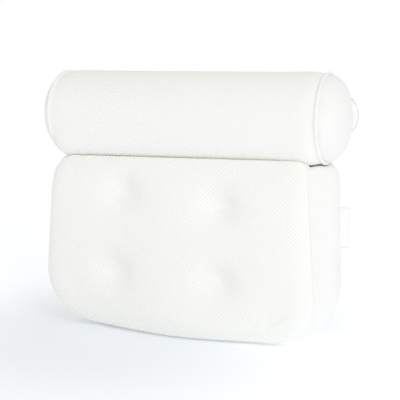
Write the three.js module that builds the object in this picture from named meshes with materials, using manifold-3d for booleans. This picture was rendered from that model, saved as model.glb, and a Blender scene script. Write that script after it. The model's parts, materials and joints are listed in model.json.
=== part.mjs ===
// Two-part bath pillow: a round neck roll joined by a fabric hinge to the top of a tufted back pad, with
// clear suction cups behind both. Millimetres, +Z up, the front faces -Y and the pad stands on z = 0.
import * as THREE from 'three';
import { mergeVertices } from 'three/addons/utils/BufferGeometryUtils.js';
import Module from 'manifold-3d';

const wasm = await Module();
wasm.setup();

// Fits
const SEAT = 0.3; // gap between pieces that lie on each other
const ROLL_REST = 0.6; // gap between the roll and what it rests on
const TURNING_GAP = 0.6; // gap round a cup's neck, which turns in its eyelet

// Fabric, cord and thread
const MESH_THICKNESS = 5; // spacer mesh of the sleeve and of the pad's front
const MESH_RIM = 2; // the same mesh pressed flat in the pad's seam
const COVER_THICKNESS = 2.5; // plain knit of the gusset and the roll's ends
const BACKING_THICKNESS = 3;
const PATCH_THICKNESS = 1.5;
const WEB_THICKNESS = 1.6;
const PIPING_RADIUS = 2;
const PIPING_FLANGE = 1.2; // how far the piping stands off its seam
const THREAD_RADIUS = 0.6;

// Pad: two seam outlines joined by a bulging gusset, each side drawn in by its taper at the top
const FRONT_SEAM = {
  y: -38,
  halfWidth: 156.5,
  taper: 6,
  low: 8.5,
  high: 198,
  lowCorner: 52,
  highCorner: 13,
};
const REAR_SEAM = {
  y: 30,
  halfWidth: 165,
  taper: 2,
  low: 6,
  high: 198.5,
  lowCorner: 56,
  highCorner: 22,
};
const SEAM_INSET = 0.5; // edge of a panel inside its seam outline
const LEAST_CORNER = 2; // an outline set in past its corners still has this rounding
const EDGE_REACH = 22; // half axes of the oval that the front's edge rolls round, along the front
const EDGE_DEPTH = 11; // and out from it
const EDGE_TURN = 135; // degrees that the edge rolls, over its seam and back under to it
const PAD_CROWN = 5; // how far the middle of the front stands out from its edge
const CROWN_SQUARENESS = 6; // 2 is an oval crown, more follows the corners of the seam
const GUSSET_BULGE = { side: 18, bottom: 16, top: 7 };

// Tufts, each tied to the eyelet of a cup behind it
const TUFT_X = 58;
const TUFT_LOW_Z = 84;
const TUFT_HIGH_Z = 164;
const TUFT_DEPTH = 11;
const TUFT_SPREAD = 16;
const TUFT_BAR = 6; // thread that shows in the tuft
const TUFT_BAR_LIFT = 1.5; // gap under that thread
const THREAD_HOLE_OVERRUN = 3; // how far a thread's hole starts in front of the thread
const CUP_X = 60;
const CUP_LOW_Z = 71;
const CUP_HIGH_Z = 155;

// Roll, on an axis along X over y = 0
const ROLL_RADIUS = 51;
const ROLL_DRAW = 6; // how much smaller its radius is at an end seam
const ROLL_SEAM_X = 160;
const ROLL_SHOULDER = 20; // length over which the sleeve draws in to its end seam
const ROLL_DOME = 26;
const DOME_FULLNESS = 2.2; // 2 is an ellipse, more is squarer
const ROLL_CUP_X = 151.5;

// Suction cup, eyelet washer and eyelet patch
const CUP_RADIUS = 25;
const CUP_HEIGHT = 14;
const CUP_WALL = 2.4;
const CUP_LIP = 2.6; // width of the flat sealing lip
const CUP_COLLAR_RADIUS = 7.5;
const CUP_COLLAR_HEIGHT = 2.6;
const CUP_NECK_RADIUS = 4;
const CUP_HEAD_RADIUS = 7.2;
const CUP_HEAD_HEIGHT = 3;
const CUP_HEAD_BEVEL = 2;
const WASHER_RADIUS = 14;
const ROLL_WASHER_RADIUS = 9;
const WASHER_THICKNESS = 1.5;
const SEW_HOLE_X = 10.8; // tie holes from the middle of a washer
const PATCH_SIDE = 40;
const ROLL_PATCH_SIDE = 24;
const PATCH_CORNER = 6;
const POCKET_MARGIN = 1.5; // room round a washer and past a cup's head in the filling

// Fabric hinge and side tag
const WEB_HALF_LENGTH = 130;
const WEB_SEWN_HEIGHT = 14; // sewn to the pad's back
const WEB_TURN_BELOW_TOP = 1.5; // where it leaves the back, under the rear seam's top
const WEB_ROLL_START = 42; // degrees from straight down to where it meets the roll
const WEB_ROLL_ARC = 14;
const TAG_REACH = 11;
const TAG_HEIGHT = 46;
const TAG_MIDDLE_Z = 125;
const TAG_THICKNESS = 1;

// Facets
const LONG_SIDE_STEPS = 10;
const SHORT_SIDE_STEPS = 5;
const CORNER_STEPS = 5;
const PANEL_RINGS = [0.15, 0.28, 0.41, 0.53, 0.65, 0.77, 0.89];
const EDGE_ANGLES = [0, 30, 60, 90, 112, EDGE_TURN];
const GUSSET_STEPS = [0, 0.12, 0.3, 0.5, 0.7, 0.88, 1];
const ROLL_SEGMENTS = 32;
const SHOULDER_STATIONS = [0, 0.3, 0.5, 0.75, 0.9, 1];
const DOME_STEPS = 5;
const CUP_SEGMENTS = 16;
const BELL_OUTSIDE = [[0.62, 0.3], [0.88, 0.7]]; // shares of a cup's radius and of its bell's height
const BELL_INSIDE = [[0.8, 0.63], [0.45, 0.2]];
const PIPING_SIDES = 6;
const THREAD_SIDES = 6;
const HOLE_SIDES = 12;

// Places that follow from the sizes above
const PIPING_STANDOFF = PIPING_RADIUS + PIPING_FLANGE;
const FRONT_PIPING_Y = FRONT_SEAM.y + MESH_RIM + SEAT / 2;
const REAR_PIPING_Y = REAR_SEAM.y - BACKING_THICKNESS - SEAT / 2;
const REAR_PIPING_TOP = REAR_SEAM.high + PIPING_STANDOFF;
const ROLL_SEAM_RADIUS = ROLL_RADIUS - ROLL_DRAW;
const ROLL_REACH = ROLL_RADIUS + PIPING_RADIUS + ROLL_REST;
const ROLL_AXIS_Z = REAR_PIPING_TOP + Math.sqrt(ROLL_REACH ** 2 - REAR_PIPING_Y ** 2);
const FRONT_MIDDLE_Z = (FRONT_SEAM.low + FRONT_SEAM.high) / 2;
const EDGE_END = THREE.MathUtils.degToRad(EDGE_TURN);
const EDGE_INSET = SEAM_INSET + EDGE_REACH * Math.sin(EDGE_END); // from the seam in to the middle of the oval
const EDGE_MIDDLE_Y = FRONT_SEAM.y + EDGE_DEPTH * Math.cos(EDGE_END);
const GUSSET_FRONT_Y = FRONT_SEAM.y + MESH_RIM + SEAT;
const GUSSET_REAR_Y = REAR_SEAM.y - BACKING_THICKNESS - SEAT;
const NECK_HOLE_RADIUS = CUP_NECK_RADIUS + TURNING_GAP;
const PATCH_FACE = SEAT + PATCH_THICKNESS; // outer face of a patch from the fabric under it
const SIDES = { left: -1, right: 1 };

// Solids and booleans

function toSolid(geometry) {
  const bare = geometry.clone();
  bare.deleteAttribute('normal');
  bare.deleteAttribute('uv');
  const merged = mergeVertices(bare, 1e-4);
  return new wasm.Manifold(
    new wasm.Mesh({
      numProp: 3,
      vertProperties: new Float32Array(merged.attributes.position.array),
      triVerts: new Uint32Array(merged.index.array),
    }),
  );
}

function toGeometry(body) {
  const { vertProperties, triVerts } = body.getMesh();
  const geometry = new THREE.BufferGeometry();
  geometry.setAttribute('position', new THREE.BufferAttribute(new Float32Array(vertProperties), 3));
  geometry.setIndex(new THREE.BufferAttribute(new Uint32Array(triVerts), 1));
  return geometry;
}

function cut(geometry, tools) {
  let body = toSolid(geometry);
  for (const tool of tools) {
    body = body.subtract(toSolid(tool));
  }
  return toGeometry(body);
}

function join(geometries) {
  const [first, ...others] = geometries.map(toSolid);
  return toGeometry(others.reduce((sum, body) => sum.add(body), first));
}

function common(first, second) {
  return toGeometry(toSolid(first).intersect(toSolid(second)));
}

// Round bar between two points.
function bar(from, to, radius, sides) {
  const along = new THREE.Vector3().subVectors(to, from);
  const geometry = new THREE.CylinderGeometry(radius, radius, along.length(), sides);
  const turn = new THREE.Quaternion().setFromUnitVectors(
    new THREE.Vector3(0, 1, 0),
    along.clone().normalize(),
  );
  geometry.applyQuaternion(turn);
  const middle = from.clone().add(to).multiplyScalar(0.5);
  return geometry.translate(middle.x, middle.y, middle.z);
}

// Skin over rings of equal length, each patch split along its shorter diagonal. A ring of one point is a
// pole; without poles the last ring joins the first.
function loft(rings) {
  const count = Math.max(...rings.map((ring) => ring.length));
  const positions = [];
  const starts = [];
  for (const ring of rings) {
    starts.push(positions.length / 3);
    ring.forEach(({ x, y, z }) => positions.push(x, y, z));
  }
  const at = (r, i) => starts[r] + (rings[r].length === 1 ? 0 : i % count);
  const point = (v) => new THREE.Vector3().fromArray(positions, 3 * v);
  const apart = (v, w) => point(v).distanceTo(point(w));
  const closed = rings[0].length > 1;
  const index = [];
  const last = closed ? rings.length : rings.length - 1;
  for (let r = 0; r < last; r += 1) {
    const next = (r + 1) % rings.length;
    for (let i = 0; i < count; i += 1) {
      const [a, b, c, d] = [at(r, i), at(r, i + 1), at(next, i + 1), at(next, i)];
      if (rings[r].length === 1) {
        index.push(a, d, c);
      } else if (rings[next].length === 1) {
        index.push(a, d, b);
      } else if (apart(b, d) < apart(a, c)) {
        index.push(a, d, b, b, d, c);
      } else {
        index.push(a, d, c, a, c, b);
      }
    }
  }
  const geometry = new THREE.BufferGeometry();
  geometry.setAttribute('position', new THREE.Float32BufferAttribute(positions, 3));
  geometry.setIndex(index);
  return geometry;
}

// Revolved closed profile of [radius, along] pairs, about the local Y axis.
function revolve(profile, segments) {
  return new THREE.LatheGeometry(profile.map(([r, a]) => new THREE.Vector2(r, a)), segments);
}

// Revolved profile laid along X at the roll's axis.
function revolveOnRoll(profile) {
  return revolve(profile, ROLL_SEGMENTS).rotateZ(-Math.PI / 2).translate(0, 0, ROLL_AXIS_Z);
}

// Flat plate in the XZ plane, its thickness from yLow towards +Y.
function plate(points, yLow, thickness) {
  const shape = new THREE.Shape(points.map(({ x, z }) => new THREE.Vector2(x, -z)));
  const geometry = new THREE.ExtrudeGeometry(shape, { depth: thickness, bevelEnabled: false });
  return geometry.rotateX(-Math.PI / 2).translate(0, yLow, 0);
}

// Outlines of the pad

// Points once round a rounded rectangle with their outward directions, always the same number of them.
// Those along a straight side are marked, because a flat plate needs only the corners.
function outline({ halfWidth, taper, low, high, lowCorner, highCorner }, inset = 0) {
  const lowReach = Math.max(lowCorner, inset + LEAST_CORNER);
  const highReach = Math.max(highCorner, inset + LEAST_CORNER);
  const bottom = { x: halfWidth - lowReach, z: low + lowReach, radius: lowReach - inset };
  const top = { x: halfWidth - taper - highReach, z: high - highReach, radius: highReach - inset };
  const corners = [
    [bottom.x, bottom, -90, SHORT_SIDE_STEPS],
    [top.x, top, 0, LONG_SIDE_STEPS],
    [-top.x, top, 90, SHORT_SIDE_STEPS],
    [-bottom.x, bottom, 180, LONG_SIDE_STEPS],
  ];
  const arcs = corners.map(([x, { z, radius }, start]) =>
    Array.from({ length: CORNER_STEPS + 1 }, (unused, step) => {
      const angle = THREE.MathUtils.degToRad(start + (90 * step) / CORNER_STEPS);
      const nx = Math.cos(angle);
      const nz = Math.sin(angle);
      return { x: x + radius * nx, z: z + radius * nz, nx, nz };
    }),
  );
  return arcs.flatMap((arc, k) => {
    const from = arc[arc.length - 1];
    const to = arcs[(k + 1) % arcs.length][0];
    const steps = corners[k][3];
    const side = Array.from({ length: steps - 1 }, (unused, step) => {
      const share = (step + 1) / steps;
      return {
        x: THREE.MathUtils.lerp(from.x, to.x, share),
        z: THREE.MathUtils.lerp(from.z, to.z, share),
        nx: from.nx,
        nz: from.nz,
        onSide: true,
      };
    });
    return [...arc, ...side];
  });
}

function square(side) {
  const half = side / 2;
  const corner = PATCH_CORNER;
  return { halfWidth: half, taper: 0, low: -half, high: half, lowCorner: corner, highCorner: corner };
}

// Corner points of an outline, moved, for a plate.
function plateEdge(rectangle, inset, moveX, moveZ) {
  const corners = outline(rectangle, inset).filter(({ onSide }) => !onSide);
  return corners.map(({ x, z }) => ({ x: x + moveX, z: z + moveZ }));
}

// The pad's front

// 0 in the middle of the front and 1 where its edge starts to roll.
function fromMiddle(x, z) {
  const { halfWidth, taper, low, high } = FRONT_SEAM;
  const reach = THREE.MathUtils.mapLinear(z, low, high, halfWidth, halfWidth - taper) - EDGE_INSET;
  const across = Math.abs(x) / reach;
  const up = Math.abs(z - FRONT_MIDDLE_Z) / (high - FRONT_MIDDLE_Z - EDGE_INSET);
  return Math.min(1, (across ** CROWN_SQUARENESS + up ** CROWN_SQUARENESS) ** (1 / CROWN_SQUARENESS));
}

const TUFTS = [TUFT_LOW_Z, TUFT_HIGH_Z].flatMap((z) =>
  Object.values(SIDES).map((side) => ({ x: side * TUFT_X, z })),
);
const PAD_CUPS = [CUP_LOW_Z, CUP_HIGH_Z].flatMap((z) =>
  Object.values(SIDES).map((side) => ({ x: side * CUP_X, z })),
);
const PAD_CUP_NAMES = ['low_left', 'low_right', 'high_left', 'high_right'];

// How far the tufts draw the front in.
function dimples(x, z) {
  const depths = TUFTS.map((tuft) => {
    const distance = Math.hypot(x - tuft.x, z - tuft.z);
    return TUFT_DEPTH * Math.exp(-0.5 * (distance / TUFT_SPREAD) ** 2);
  });
  return depths.reduce((sum, depth) => sum + depth, 0);
}

// Crowned front inside its rolled edge.
function frontY(x, z) {
  const crown = PAD_CROWN * (1 - fromMiddle(x, z) ** 2) ** 2;
  return EDGE_MIDDLE_Y - EDGE_DEPTH - crown + dimples(x, z);
}

// Rings over the front from its middle out and round its rolled edge, set back from its face.
function frontRings(back) {
  const rim = outline(FRONT_SEAM, EDGE_INSET);
  const middle = PANEL_RINGS.map((share) =>
    rim.map((point) => {
      const x = point.x * share;
      const z = THREE.MathUtils.lerp(FRONT_MIDDLE_Z, point.z, share);
      return new THREE.Vector3(x, frontY(x, z) + back, z);
    }),
  );
  const edge = EDGE_ANGLES.map((degrees) => {
    const angle = THREE.MathUtils.degToRad(degrees);
    const out = (EDGE_REACH - back) * Math.sin(angle);
    const forward = (EDGE_DEPTH - back) * Math.cos(angle);
    const drawn = Math.max(0, Math.cos(angle)) ** 2;
    return outline(FRONT_SEAM, EDGE_INSET - out).map(
      ({ x, z }) => new THREE.Vector3(x, EDGE_MIDDLE_Y - forward + drawn * dimples(x, z), z),
    );
  });
  return [...middle, ...edge];
}

function frontPole(back) {
  return [new THREE.Vector3(0, frontY(0, FRONT_MIDDLE_Z) + back, FRONT_MIDDLE_Z)];
}

// The roll's form

function rollRadius(x) {
  const fromSeam = Math.max(0, ROLL_SEAM_X - Math.abs(x));
  const drawn = Math.max(0, 1 - fromSeam / ROLL_SHOULDER) ** 3;
  return THREE.MathUtils.lerp(ROLL_RADIUS, ROLL_SEAM_RADIUS, drawn);
}

// Underside of the roll over a point of the pad, or no limit beside it.
function rollUnderside(y, gap) {
  const reach = ROLL_RADIUS + gap;
  return Math.abs(y) < reach ? ROLL_AXIS_Z - Math.sqrt(reach ** 2 - y ** 2) : Infinity;
}

// Profile of the sleeve from seam to seam, offset from its outer face.
function sleeveProfile(offset) {
  const right = SHOULDER_STATIONS.map((share) => ROLL_SEAM_X - ROLL_SHOULDER * (1 - share));
  const stations = [...right.map((x) => -x).reverse(), ...right];
  return stations.map((x) => [rollRadius(x) + offset, x]);
}

// Closed band that follows the sleeve between two offsets from its outer face.
function sleeveBand(inner, outer) {
  const outside = sleeveProfile(outer);
  return revolveOnRoll([...outside, ...sleeveProfile(inner).reverse(), outside[0]]);
}

// Place and direction of a roll cup, square on the shoulder of the sleeve.
function rollCupSeat(side) {
  const step = 1;
  const fall = rollRadius(ROLL_CUP_X - step) - rollRadius(ROLL_CUP_X + step);
  const tilt = Math.atan2(fall, 2 * step);
  return {
    position: new THREE.Vector3(side * ROLL_CUP_X, rollRadius(ROLL_CUP_X), ROLL_AXIS_Z),
    tilt: -side * tilt,
    axis: new THREE.Vector3(side * Math.sin(tilt), Math.cos(tilt), 0),
  };
}

// Place and direction of a pad cup.
function padCupSeat({ x, z }) {
  return { position: new THREE.Vector3(x, REAR_SEAM.y, z), axis: new THREE.Vector3(0, 1, 0) };
}

// Round bar along a cup's axis, between two distances from the fabric's outer face.
function barAtSeat(seat, from, to, radius, sides) {
  const start = seat.position.clone().addScaledVector(seat.axis, from);
  const end = seat.position.clone().addScaledVector(seat.axis, to);
  return bar(start, end, radius, sides);
}

// Suction cups

// Moulded in one piece: head, neck, collar and bell. Its zero is the outer face of the fabric that it passes.
function cupGeometry(wall) {
  const headFace = -(wall + SEAT + WASHER_THICKNESS + SEAT);
  const headEnd = headFace - CUP_HEAD_HEIGHT;
  const collar = PATCH_FACE + SEAT;
  const bell = collar + CUP_COLLAR_HEIGHT;
  const lip = collar + CUP_HEIGHT;
  const rise = lip - bell;
  const roof = bell + CUP_WALL;
  const hollow = CUP_RADIUS - CUP_LIP;
  return revolve(
    [
      [0, headEnd],
      [CUP_HEAD_RADIUS - CUP_HEAD_BEVEL, headEnd],
      [CUP_HEAD_RADIUS, headEnd + CUP_HEAD_BEVEL],
      [CUP_HEAD_RADIUS, headFace],
      [CUP_NECK_RADIUS, headFace],
      [CUP_NECK_RADIUS, collar],
      [CUP_COLLAR_RADIUS, collar],
      [CUP_COLLAR_RADIUS, bell],
      ...BELL_OUTSIDE.map(([across, up]) => [CUP_RADIUS * across, bell + rise * up]),
      [CUP_RADIUS, lip],
      [hollow, lip],
      ...BELL_INSIDE.map(([across, up]) => [hollow * across, roof + (lip - roof) * up]),
      [0, roof],
    ],
    CUP_SEGMENTS,
  );
}

// Assembly

const COLOURS = {
  mesh: [0xf4f5f6, 0.95, 0],
  cover: [0xf7f7f8, 0.9, 0],
  piping: [0xf9f9fa, 0.85, 0],
  filling: [0xf2f2ef, 1, 0],
  backing: [0xeff0f1, 0.95, 0],
  plastic: [0xf3f4f5, 0.45, 0],
  clear: [0xdfe8ea, 0.12, 0],
  thread: [0xfafafa, 0.8, 0],
};

const pillow = new THREE.Group();

function place(name, geometry, look, parent = pillow) {
  const [color, roughness, metalness] = COLOURS[look];
  const mesh = new THREE.Mesh(geometry, new THREE.MeshStandardMaterial({ color, roughness, metalness }));
  mesh.name = name;
  parent.add(mesh);
}

// Threads of a tuft: a bar in the dimple and two legs back to the washer's holes.
function tuftEnds(k) {
  const tuft = TUFTS[k];
  const cup = PAD_CUPS[k];
  const barY = frontY(tuft.x, tuft.z) - THREAD_RADIUS - TUFT_BAR_LIFT;
  const washerY = REAR_SEAM.y - BACKING_THICKNESS - SEAT;
  return Object.values(SIDES).map((side) => ({
    front: new THREE.Vector3(tuft.x + (side * TUFT_BAR) / 2, barY, tuft.z),
    rear: new THREE.Vector3(cup.x + side * SEW_HOLE_X, washerY, cup.z),
  }));
}

function threadHoles(clearance) {
  return TUFTS.flatMap((tuft, k) =>
    tuftEnds(k).map(({ front, rear }) => {
      const back = new THREE.Vector3().subVectors(rear, front).normalize();
      const start = front.clone().addScaledVector(back, -THREAD_HOLE_OVERRUN);
      return bar(start, rear, THREAD_RADIUS + clearance, THREAD_SIDES);
    }),
  );
}

// Pad front: a crowned panel of spacer mesh, drawn in at the tufts, with a thin flange in its seam
{
  const flange = [SEAM_INSET, SEAM_INSET + MESH_RIM].map((inset) =>
    outline(FRONT_SEAM, inset).map(({ x, z }) => new THREE.Vector3(x, FRONT_SEAM.y + MESH_RIM, z)),
  );
  const rings = [
    frontPole(0),
    ...frontRings(0),
    ...flange,
    ...frontRings(MESH_THICKNESS).reverse(),
    frontPole(MESH_THICKNESS),
  ];
  place('pad_front_mesh', cut(loft(rings), threadHoles(SEAT)), 'mesh');
}

// Gusset: a band between the seams that bulges out, lies flat on the ground and gives way to the roll
function gussetRing(share, inset) {
  const near = outline(FRONT_SEAM);
  const far = outline(REAR_SEAM);
  const y = THREE.MathUtils.lerp(GUSSET_FRONT_Y, GUSSET_REAR_Y, share);
  return near.map(({ x, z, nx, nz }, i) => {
    const upright = nz < 0 ? GUSSET_BULGE.bottom : GUSSET_BULGE.top;
    const bulge = (GUSSET_BULGE.side * nx ** 2 + upright * nz ** 2) * Math.sin(Math.PI * share);
    const out = bulge - inset;
    const height = THREE.MathUtils.lerp(z, far[i].z, share) + out * nz;
    const roof = rollUnderside(y, ROLL_REST) - inset;
    return new THREE.Vector3(
      THREE.MathUtils.lerp(x, far[i].x, share) + out * nx,
      y,
      Math.max(inset, Math.min(roof, height)),
    );
  });
}

{
  const outer = GUSSET_STEPS.map((share) => gussetRing(share, 0));
  const inner = GUSSET_STEPS.map((share) => gussetRing(share, COVER_THICKNESS)).reverse();
  place('pad_gusset', loft([...outer, ...inner]), 'cover');
}

// Back panel, with an eyelet for each cup
{
  const edge = plateEdge(REAR_SEAM, SEAM_INSET, 0, 0);
  const panel = plate(edge, REAR_SEAM.y - BACKING_THICKNESS, BACKING_THICKNESS);
  const eyelets = PAD_CUPS.map((cup) =>
    barAtSeat(padCupSeat(cup), -BACKING_THICKNESS * 2, BACKING_THICKNESS, NECK_HOLE_RADIUS, HOLE_SIDES),
  );
  place('pad_back_panel', cut(panel, eyelets), 'backing');
}

// Piping round both seams of the pad
function pipingLoop(seam, y) {
  const line = outline(seam, -PIPING_STANDOFF);
  const rings = Array.from({ length: PIPING_SIDES }, (unused, k) => {
    const angle = (2 * Math.PI * k) / PIPING_SIDES;
    const out = PIPING_RADIUS * Math.cos(angle);
    const back = PIPING_RADIUS * Math.sin(angle);
    return line.map(({ x, z, nx, nz }) => new THREE.Vector3(x + out * nx, y + back, z + out * nz));
  });
  return loft(rings);
}

place('pad_front_piping', pipingLoop(FRONT_SEAM, FRONT_PIPING_Y), 'piping');
place('pad_back_piping', pipingLoop(REAR_SEAM, REAR_PIPING_Y), 'piping');

// Filling of the pad, with a pocket for each washer and cup head and a way through for each thread
{
  const lining = MESH_THICKNESS + SEAT;
  const inside = COVER_THICKNESS + SEAT;
  const back = GUSSET_REAR_Y;
  const rings = [
    frontPole(lining),
    ...frontRings(lining),
    ...GUSSET_STEPS.slice(0, -1).map((share) => gussetRing(share, inside)),
    outline(REAR_SEAM, inside).map(({ x, z }) => new THREE.Vector3(x, back, z)),
    [new THREE.Vector3(0, back, (REAR_SEAM.low + REAR_SEAM.high) / 2)],
  ];
  const headRoom = WASHER_THICKNESS + SEAT + CUP_HEAD_HEIGHT + POCKET_MARGIN;
  const pocketDepth = BACKING_THICKNESS + SEAT + headRoom;
  const pockets = PAD_CUPS.map((cup) =>
    barAtSeat(padCupSeat(cup), -pocketDepth, 0, WASHER_RADIUS + POCKET_MARGIN, HOLE_SIDES),
  );
  place('pad_filling', cut(loft(rings), [...pockets, ...threadHoles(SEAT)]), 'filling');
}

// Eyelet patches, washers, cups and ties behind the pad
PAD_CUPS.forEach((cup, k) => {
  const name = PAD_CUP_NAMES[k];
  const seat = padCupSeat(cup);
  const edge = plateEdge(square(PATCH_SIDE), 0, cup.x, cup.z);
  const patch = plate(edge, REAR_SEAM.y + SEAT, PATCH_THICKNESS);
  const reach = BACKING_THICKNESS * 3;
  const eyelet = barAtSeat(seat, -reach, reach, NECK_HOLE_RADIUS, HOLE_SIDES);
  place(`pad_patch_${name}`, cut(patch, [eyelet]), 'backing');

  const washerFace = -BACKING_THICKNESS - SEAT;
  const disc = barAtSeat(seat, washerFace - WASHER_THICKNESS, washerFace, WASHER_RADIUS, CUP_SEGMENTS);
  const sewHoles = tuftEnds(k).map(({ front, rear }) => {
    const along = new THREE.Vector3().subVectors(rear, front).normalize();
    const from = rear.clone().addScaledVector(along, -WASHER_THICKNESS * 2);
    const to = rear.clone().addScaledVector(along, WASHER_THICKNESS);
    return bar(from, to, THREAD_RADIUS + SEAT, THREAD_SIDES);
  });
  place(`pad_washer_${name}`, cut(disc, [eyelet, ...sewHoles]), 'plastic');

  const holder = new THREE.Group();
  holder.position.copy(seat.position);
  pillow.add(holder);
  place(`pad_cup_${name}`, cupGeometry(BACKING_THICKNESS), 'clear', holder);

  const [left, right] = tuftEnds(k);
  const overhang = new THREE.Vector3(THREAD_RADIUS, 0, 0);
  const threads = [
    bar(left.front, left.rear, THREAD_RADIUS, THREAD_SIDES),
    bar(right.front, right.rear, THREAD_RADIUS, THREAD_SIDES),
    bar(left.front.clone().sub(overhang), right.front.clone().add(overhang), THREAD_RADIUS, THREAD_SIDES),
  ];
  place(`tuft_tie_${name}`, join(threads), 'thread');
});

// Roll: sleeve of spacer mesh with an eyelet near each end
{
  const eyelets = Object.values(SIDES).map((side) =>
    barAtSeat(rollCupSeat(side), -MESH_THICKNESS * 2, MESH_THICKNESS, NECK_HOLE_RADIUS, HOLE_SIDES),
  );
  place('roll_sleeve', cut(sleeveBand(-MESH_THICKNESS, 0), eyelets), 'mesh');
}

// Quarter of a full oval from the middle of a domed end to its rim, as [radius, along] pairs.
function domeProfile(radius, height) {
  return Array.from({ length: DOME_STEPS + 1 }, (unused, step) => {
    const angle = (Math.PI / 2) * (step / DOME_STEPS);
    const across = Math.sin(angle) ** (2 / DOME_FULLNESS);
    const out = step === DOME_STEPS ? 0 : Math.cos(angle) ** (2 / DOME_FULLNESS);
    return [radius * across, ROLL_SEAM_X + SEAT + height * out];
  });
}

// Domed end panels and the piping in the end seams
for (const [name, side] of Object.entries(SIDES)) {
  const rim = ROLL_SEAM_RADIUS - SEAM_INSET;
  const outer = domeProfile(rim, ROLL_DOME - SEAT);
  const inner = domeProfile(rim - COVER_THICKNESS, ROLL_DOME - COVER_THICKNESS - SEAT);
  const end = revolveOnRoll([...inner, ...outer.reverse()]);
  const ring = new THREE.TorusGeometry(
    ROLL_SEAM_RADIUS + PIPING_STANDOFF,
    PIPING_RADIUS,
    PIPING_SIDES,
    ROLL_SEGMENTS,
  );
  ring.rotateY(Math.PI / 2).translate(ROLL_SEAM_X, 0, ROLL_AXIS_Z);
  const turn = side < 0 ? Math.PI : 0;
  place(`roll_end_${name}`, end.rotateZ(turn), 'cover');
  place(`roll_piping_${name}`, ring.rotateZ(turn), 'piping');
}

// Filling of the roll, with a pocket for each washer and cup head
const ROLL_NECK = MESH_THICKNESS + PATCH_THICKNESS; // the neck passes a sloping wall here
{
  const wall = MESH_THICKNESS + SEAT;
  const body = sleeveProfile(-wall);
  const dome = domeProfile(ROLL_SEAM_RADIUS - wall, ROLL_DOME - COVER_THICKNESS - 2 * SEAT).slice(0, -1);
  const leftDome = dome.map(([r, x]) => [r, -x]);
  const filling = revolveOnRoll([...leftDome, ...body, ...dome.reverse()]);
  const floor = ROLL_NECK + WASHER_THICKNESS + CUP_HEAD_HEIGHT + POCKET_MARGIN + SEAT;
  const pockets = Object.values(SIDES).map((side) =>
    barAtSeat(rollCupSeat(side), -floor, MESH_THICKNESS, ROLL_WASHER_RADIUS + POCKET_MARGIN, HOLE_SIDES),
  );
  place('roll_filling', cut(filling, pockets), 'filling');
}

// Patches and washers that follow the sleeve, and the cups behind the roll
for (const [name, side] of Object.entries(SIDES)) {
  const seat = rollCupSeat(side);
  const reach = MESH_THICKNESS * 3;
  const eyelet = barAtSeat(seat, -reach, reach, NECK_HOLE_RADIUS, HOLE_SIDES);

  const middleX = side * (ROLL_SEAM_X - ROLL_PATCH_SIDE / 2 - PIPING_RADIUS - 2 * SEAT);
  const edge = plateEdge(square(ROLL_PATCH_SIDE), 0, middleX, ROLL_AXIS_Z);
  const block = plate(edge, 0, ROLL_RADIUS * 2);
  const patch = common(sleeveBand(SEAT, PATCH_FACE), block);
  place(`roll_patch_${name}`, cut(patch, [eyelet]), 'backing');

  const washerFace = -MESH_THICKNESS - SEAT;
  const disc = barAtSeat(seat, -reach, reach, ROLL_WASHER_RADIUS, CUP_SEGMENTS);
  const washer = common(sleeveBand(washerFace - WASHER_THICKNESS, washerFace), disc);
  place(`roll_washer_${name}`, cut(washer, [eyelet]), 'plastic');

  const holder = new THREE.Group();
  holder.position.copy(seat.position);
  holder.rotation.z = seat.tilt;
  pillow.add(holder);
  place(`roll_cup_${name}`, cupGeometry(ROLL_NECK), 'clear', holder);
}

// Fabric hinge: sewn to the pad's back, free for a short span, then sewn to the roll
{
  const half = WEB_THICKNESS / 2;
  const backY = REAR_SEAM.y + SEAT + half;
  const turnZ = REAR_SEAM.high - WEB_TURN_BELOW_TOP;
  const onRoll = [0, 0.5, 1].map((share) => {
    const angle = THREE.MathUtils.degToRad(WEB_ROLL_START + WEB_ROLL_ARC * share);
    const radius = ROLL_RADIUS + SEAT + half;
    return new THREE.Vector2(radius * Math.sin(angle), ROLL_AXIS_Z - radius * Math.cos(angle));
  });
  const onPad = [turnZ - WEB_SEWN_HEIGHT, turnZ].map((z) => new THREE.Vector2(backY, z));
  const line = [...onPad, ...onRoll];
  const across = line.map((point, i) => {
    const before = line[Math.max(0, i - 1)];
    const after = line[Math.min(line.length - 1, i + 1)];
    const along = new THREE.Vector2().subVectors(after, before).normalize();
    return new THREE.Vector2(along.y, -along.x).multiplyScalar(half);
  });
  const outer = line.map((point, i) => point.clone().add(across[i]));
  const inner = line.map((point, i) => point.clone().sub(across[i]));
  const shape = new THREE.Shape([...outer, ...inner.reverse()]);
  const web = new THREE.ExtrudeGeometry(shape, { depth: 2 * WEB_HALF_LENGTH, bevelEnabled: false });
  const yzx = new THREE.Matrix4().makeBasis(
    new THREE.Vector3(0, 1, 0),
    new THREE.Vector3(0, 0, 1),
    new THREE.Vector3(1, 0, 0),
  );
  place('hinge_web', web.applyMatrix4(yzx).translate(-WEB_HALF_LENGTH, 0, 0), 'backing');
}

// Blank woven tag, sewn into the rear seam at the right
{
  const { halfWidth, taper, low, high, lowCorner, highCorner } = REAR_SEAM;
  const widest = TAG_MIDDLE_Z - TAG_HEIGHT / 2;
  const drawnIn = THREE.MathUtils.mapLinear(widest, low + lowCorner, high - highCorner, 0, taper);
  const side = halfWidth - drawnIn;
  const start = side + PIPING_STANDOFF + PIPING_RADIUS + SEAT;
  const tag = new THREE.BoxGeometry(TAG_REACH, TAG_THICKNESS, TAG_HEIGHT);
  place('side_tag', tag.translate(start + TAG_REACH / 2, REAR_PIPING_Y, TAG_MIDDLE_Z), 'piping');
}

// The origin is under the middle of the whole pillow
const bounds = new THREE.Box3().setFromObject(pillow, true);
pillow.position.y = -(bounds.min.y + bounds.max.y) / 2;
pillow.updateMatrixWorld(true);

export default pillow;
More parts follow.
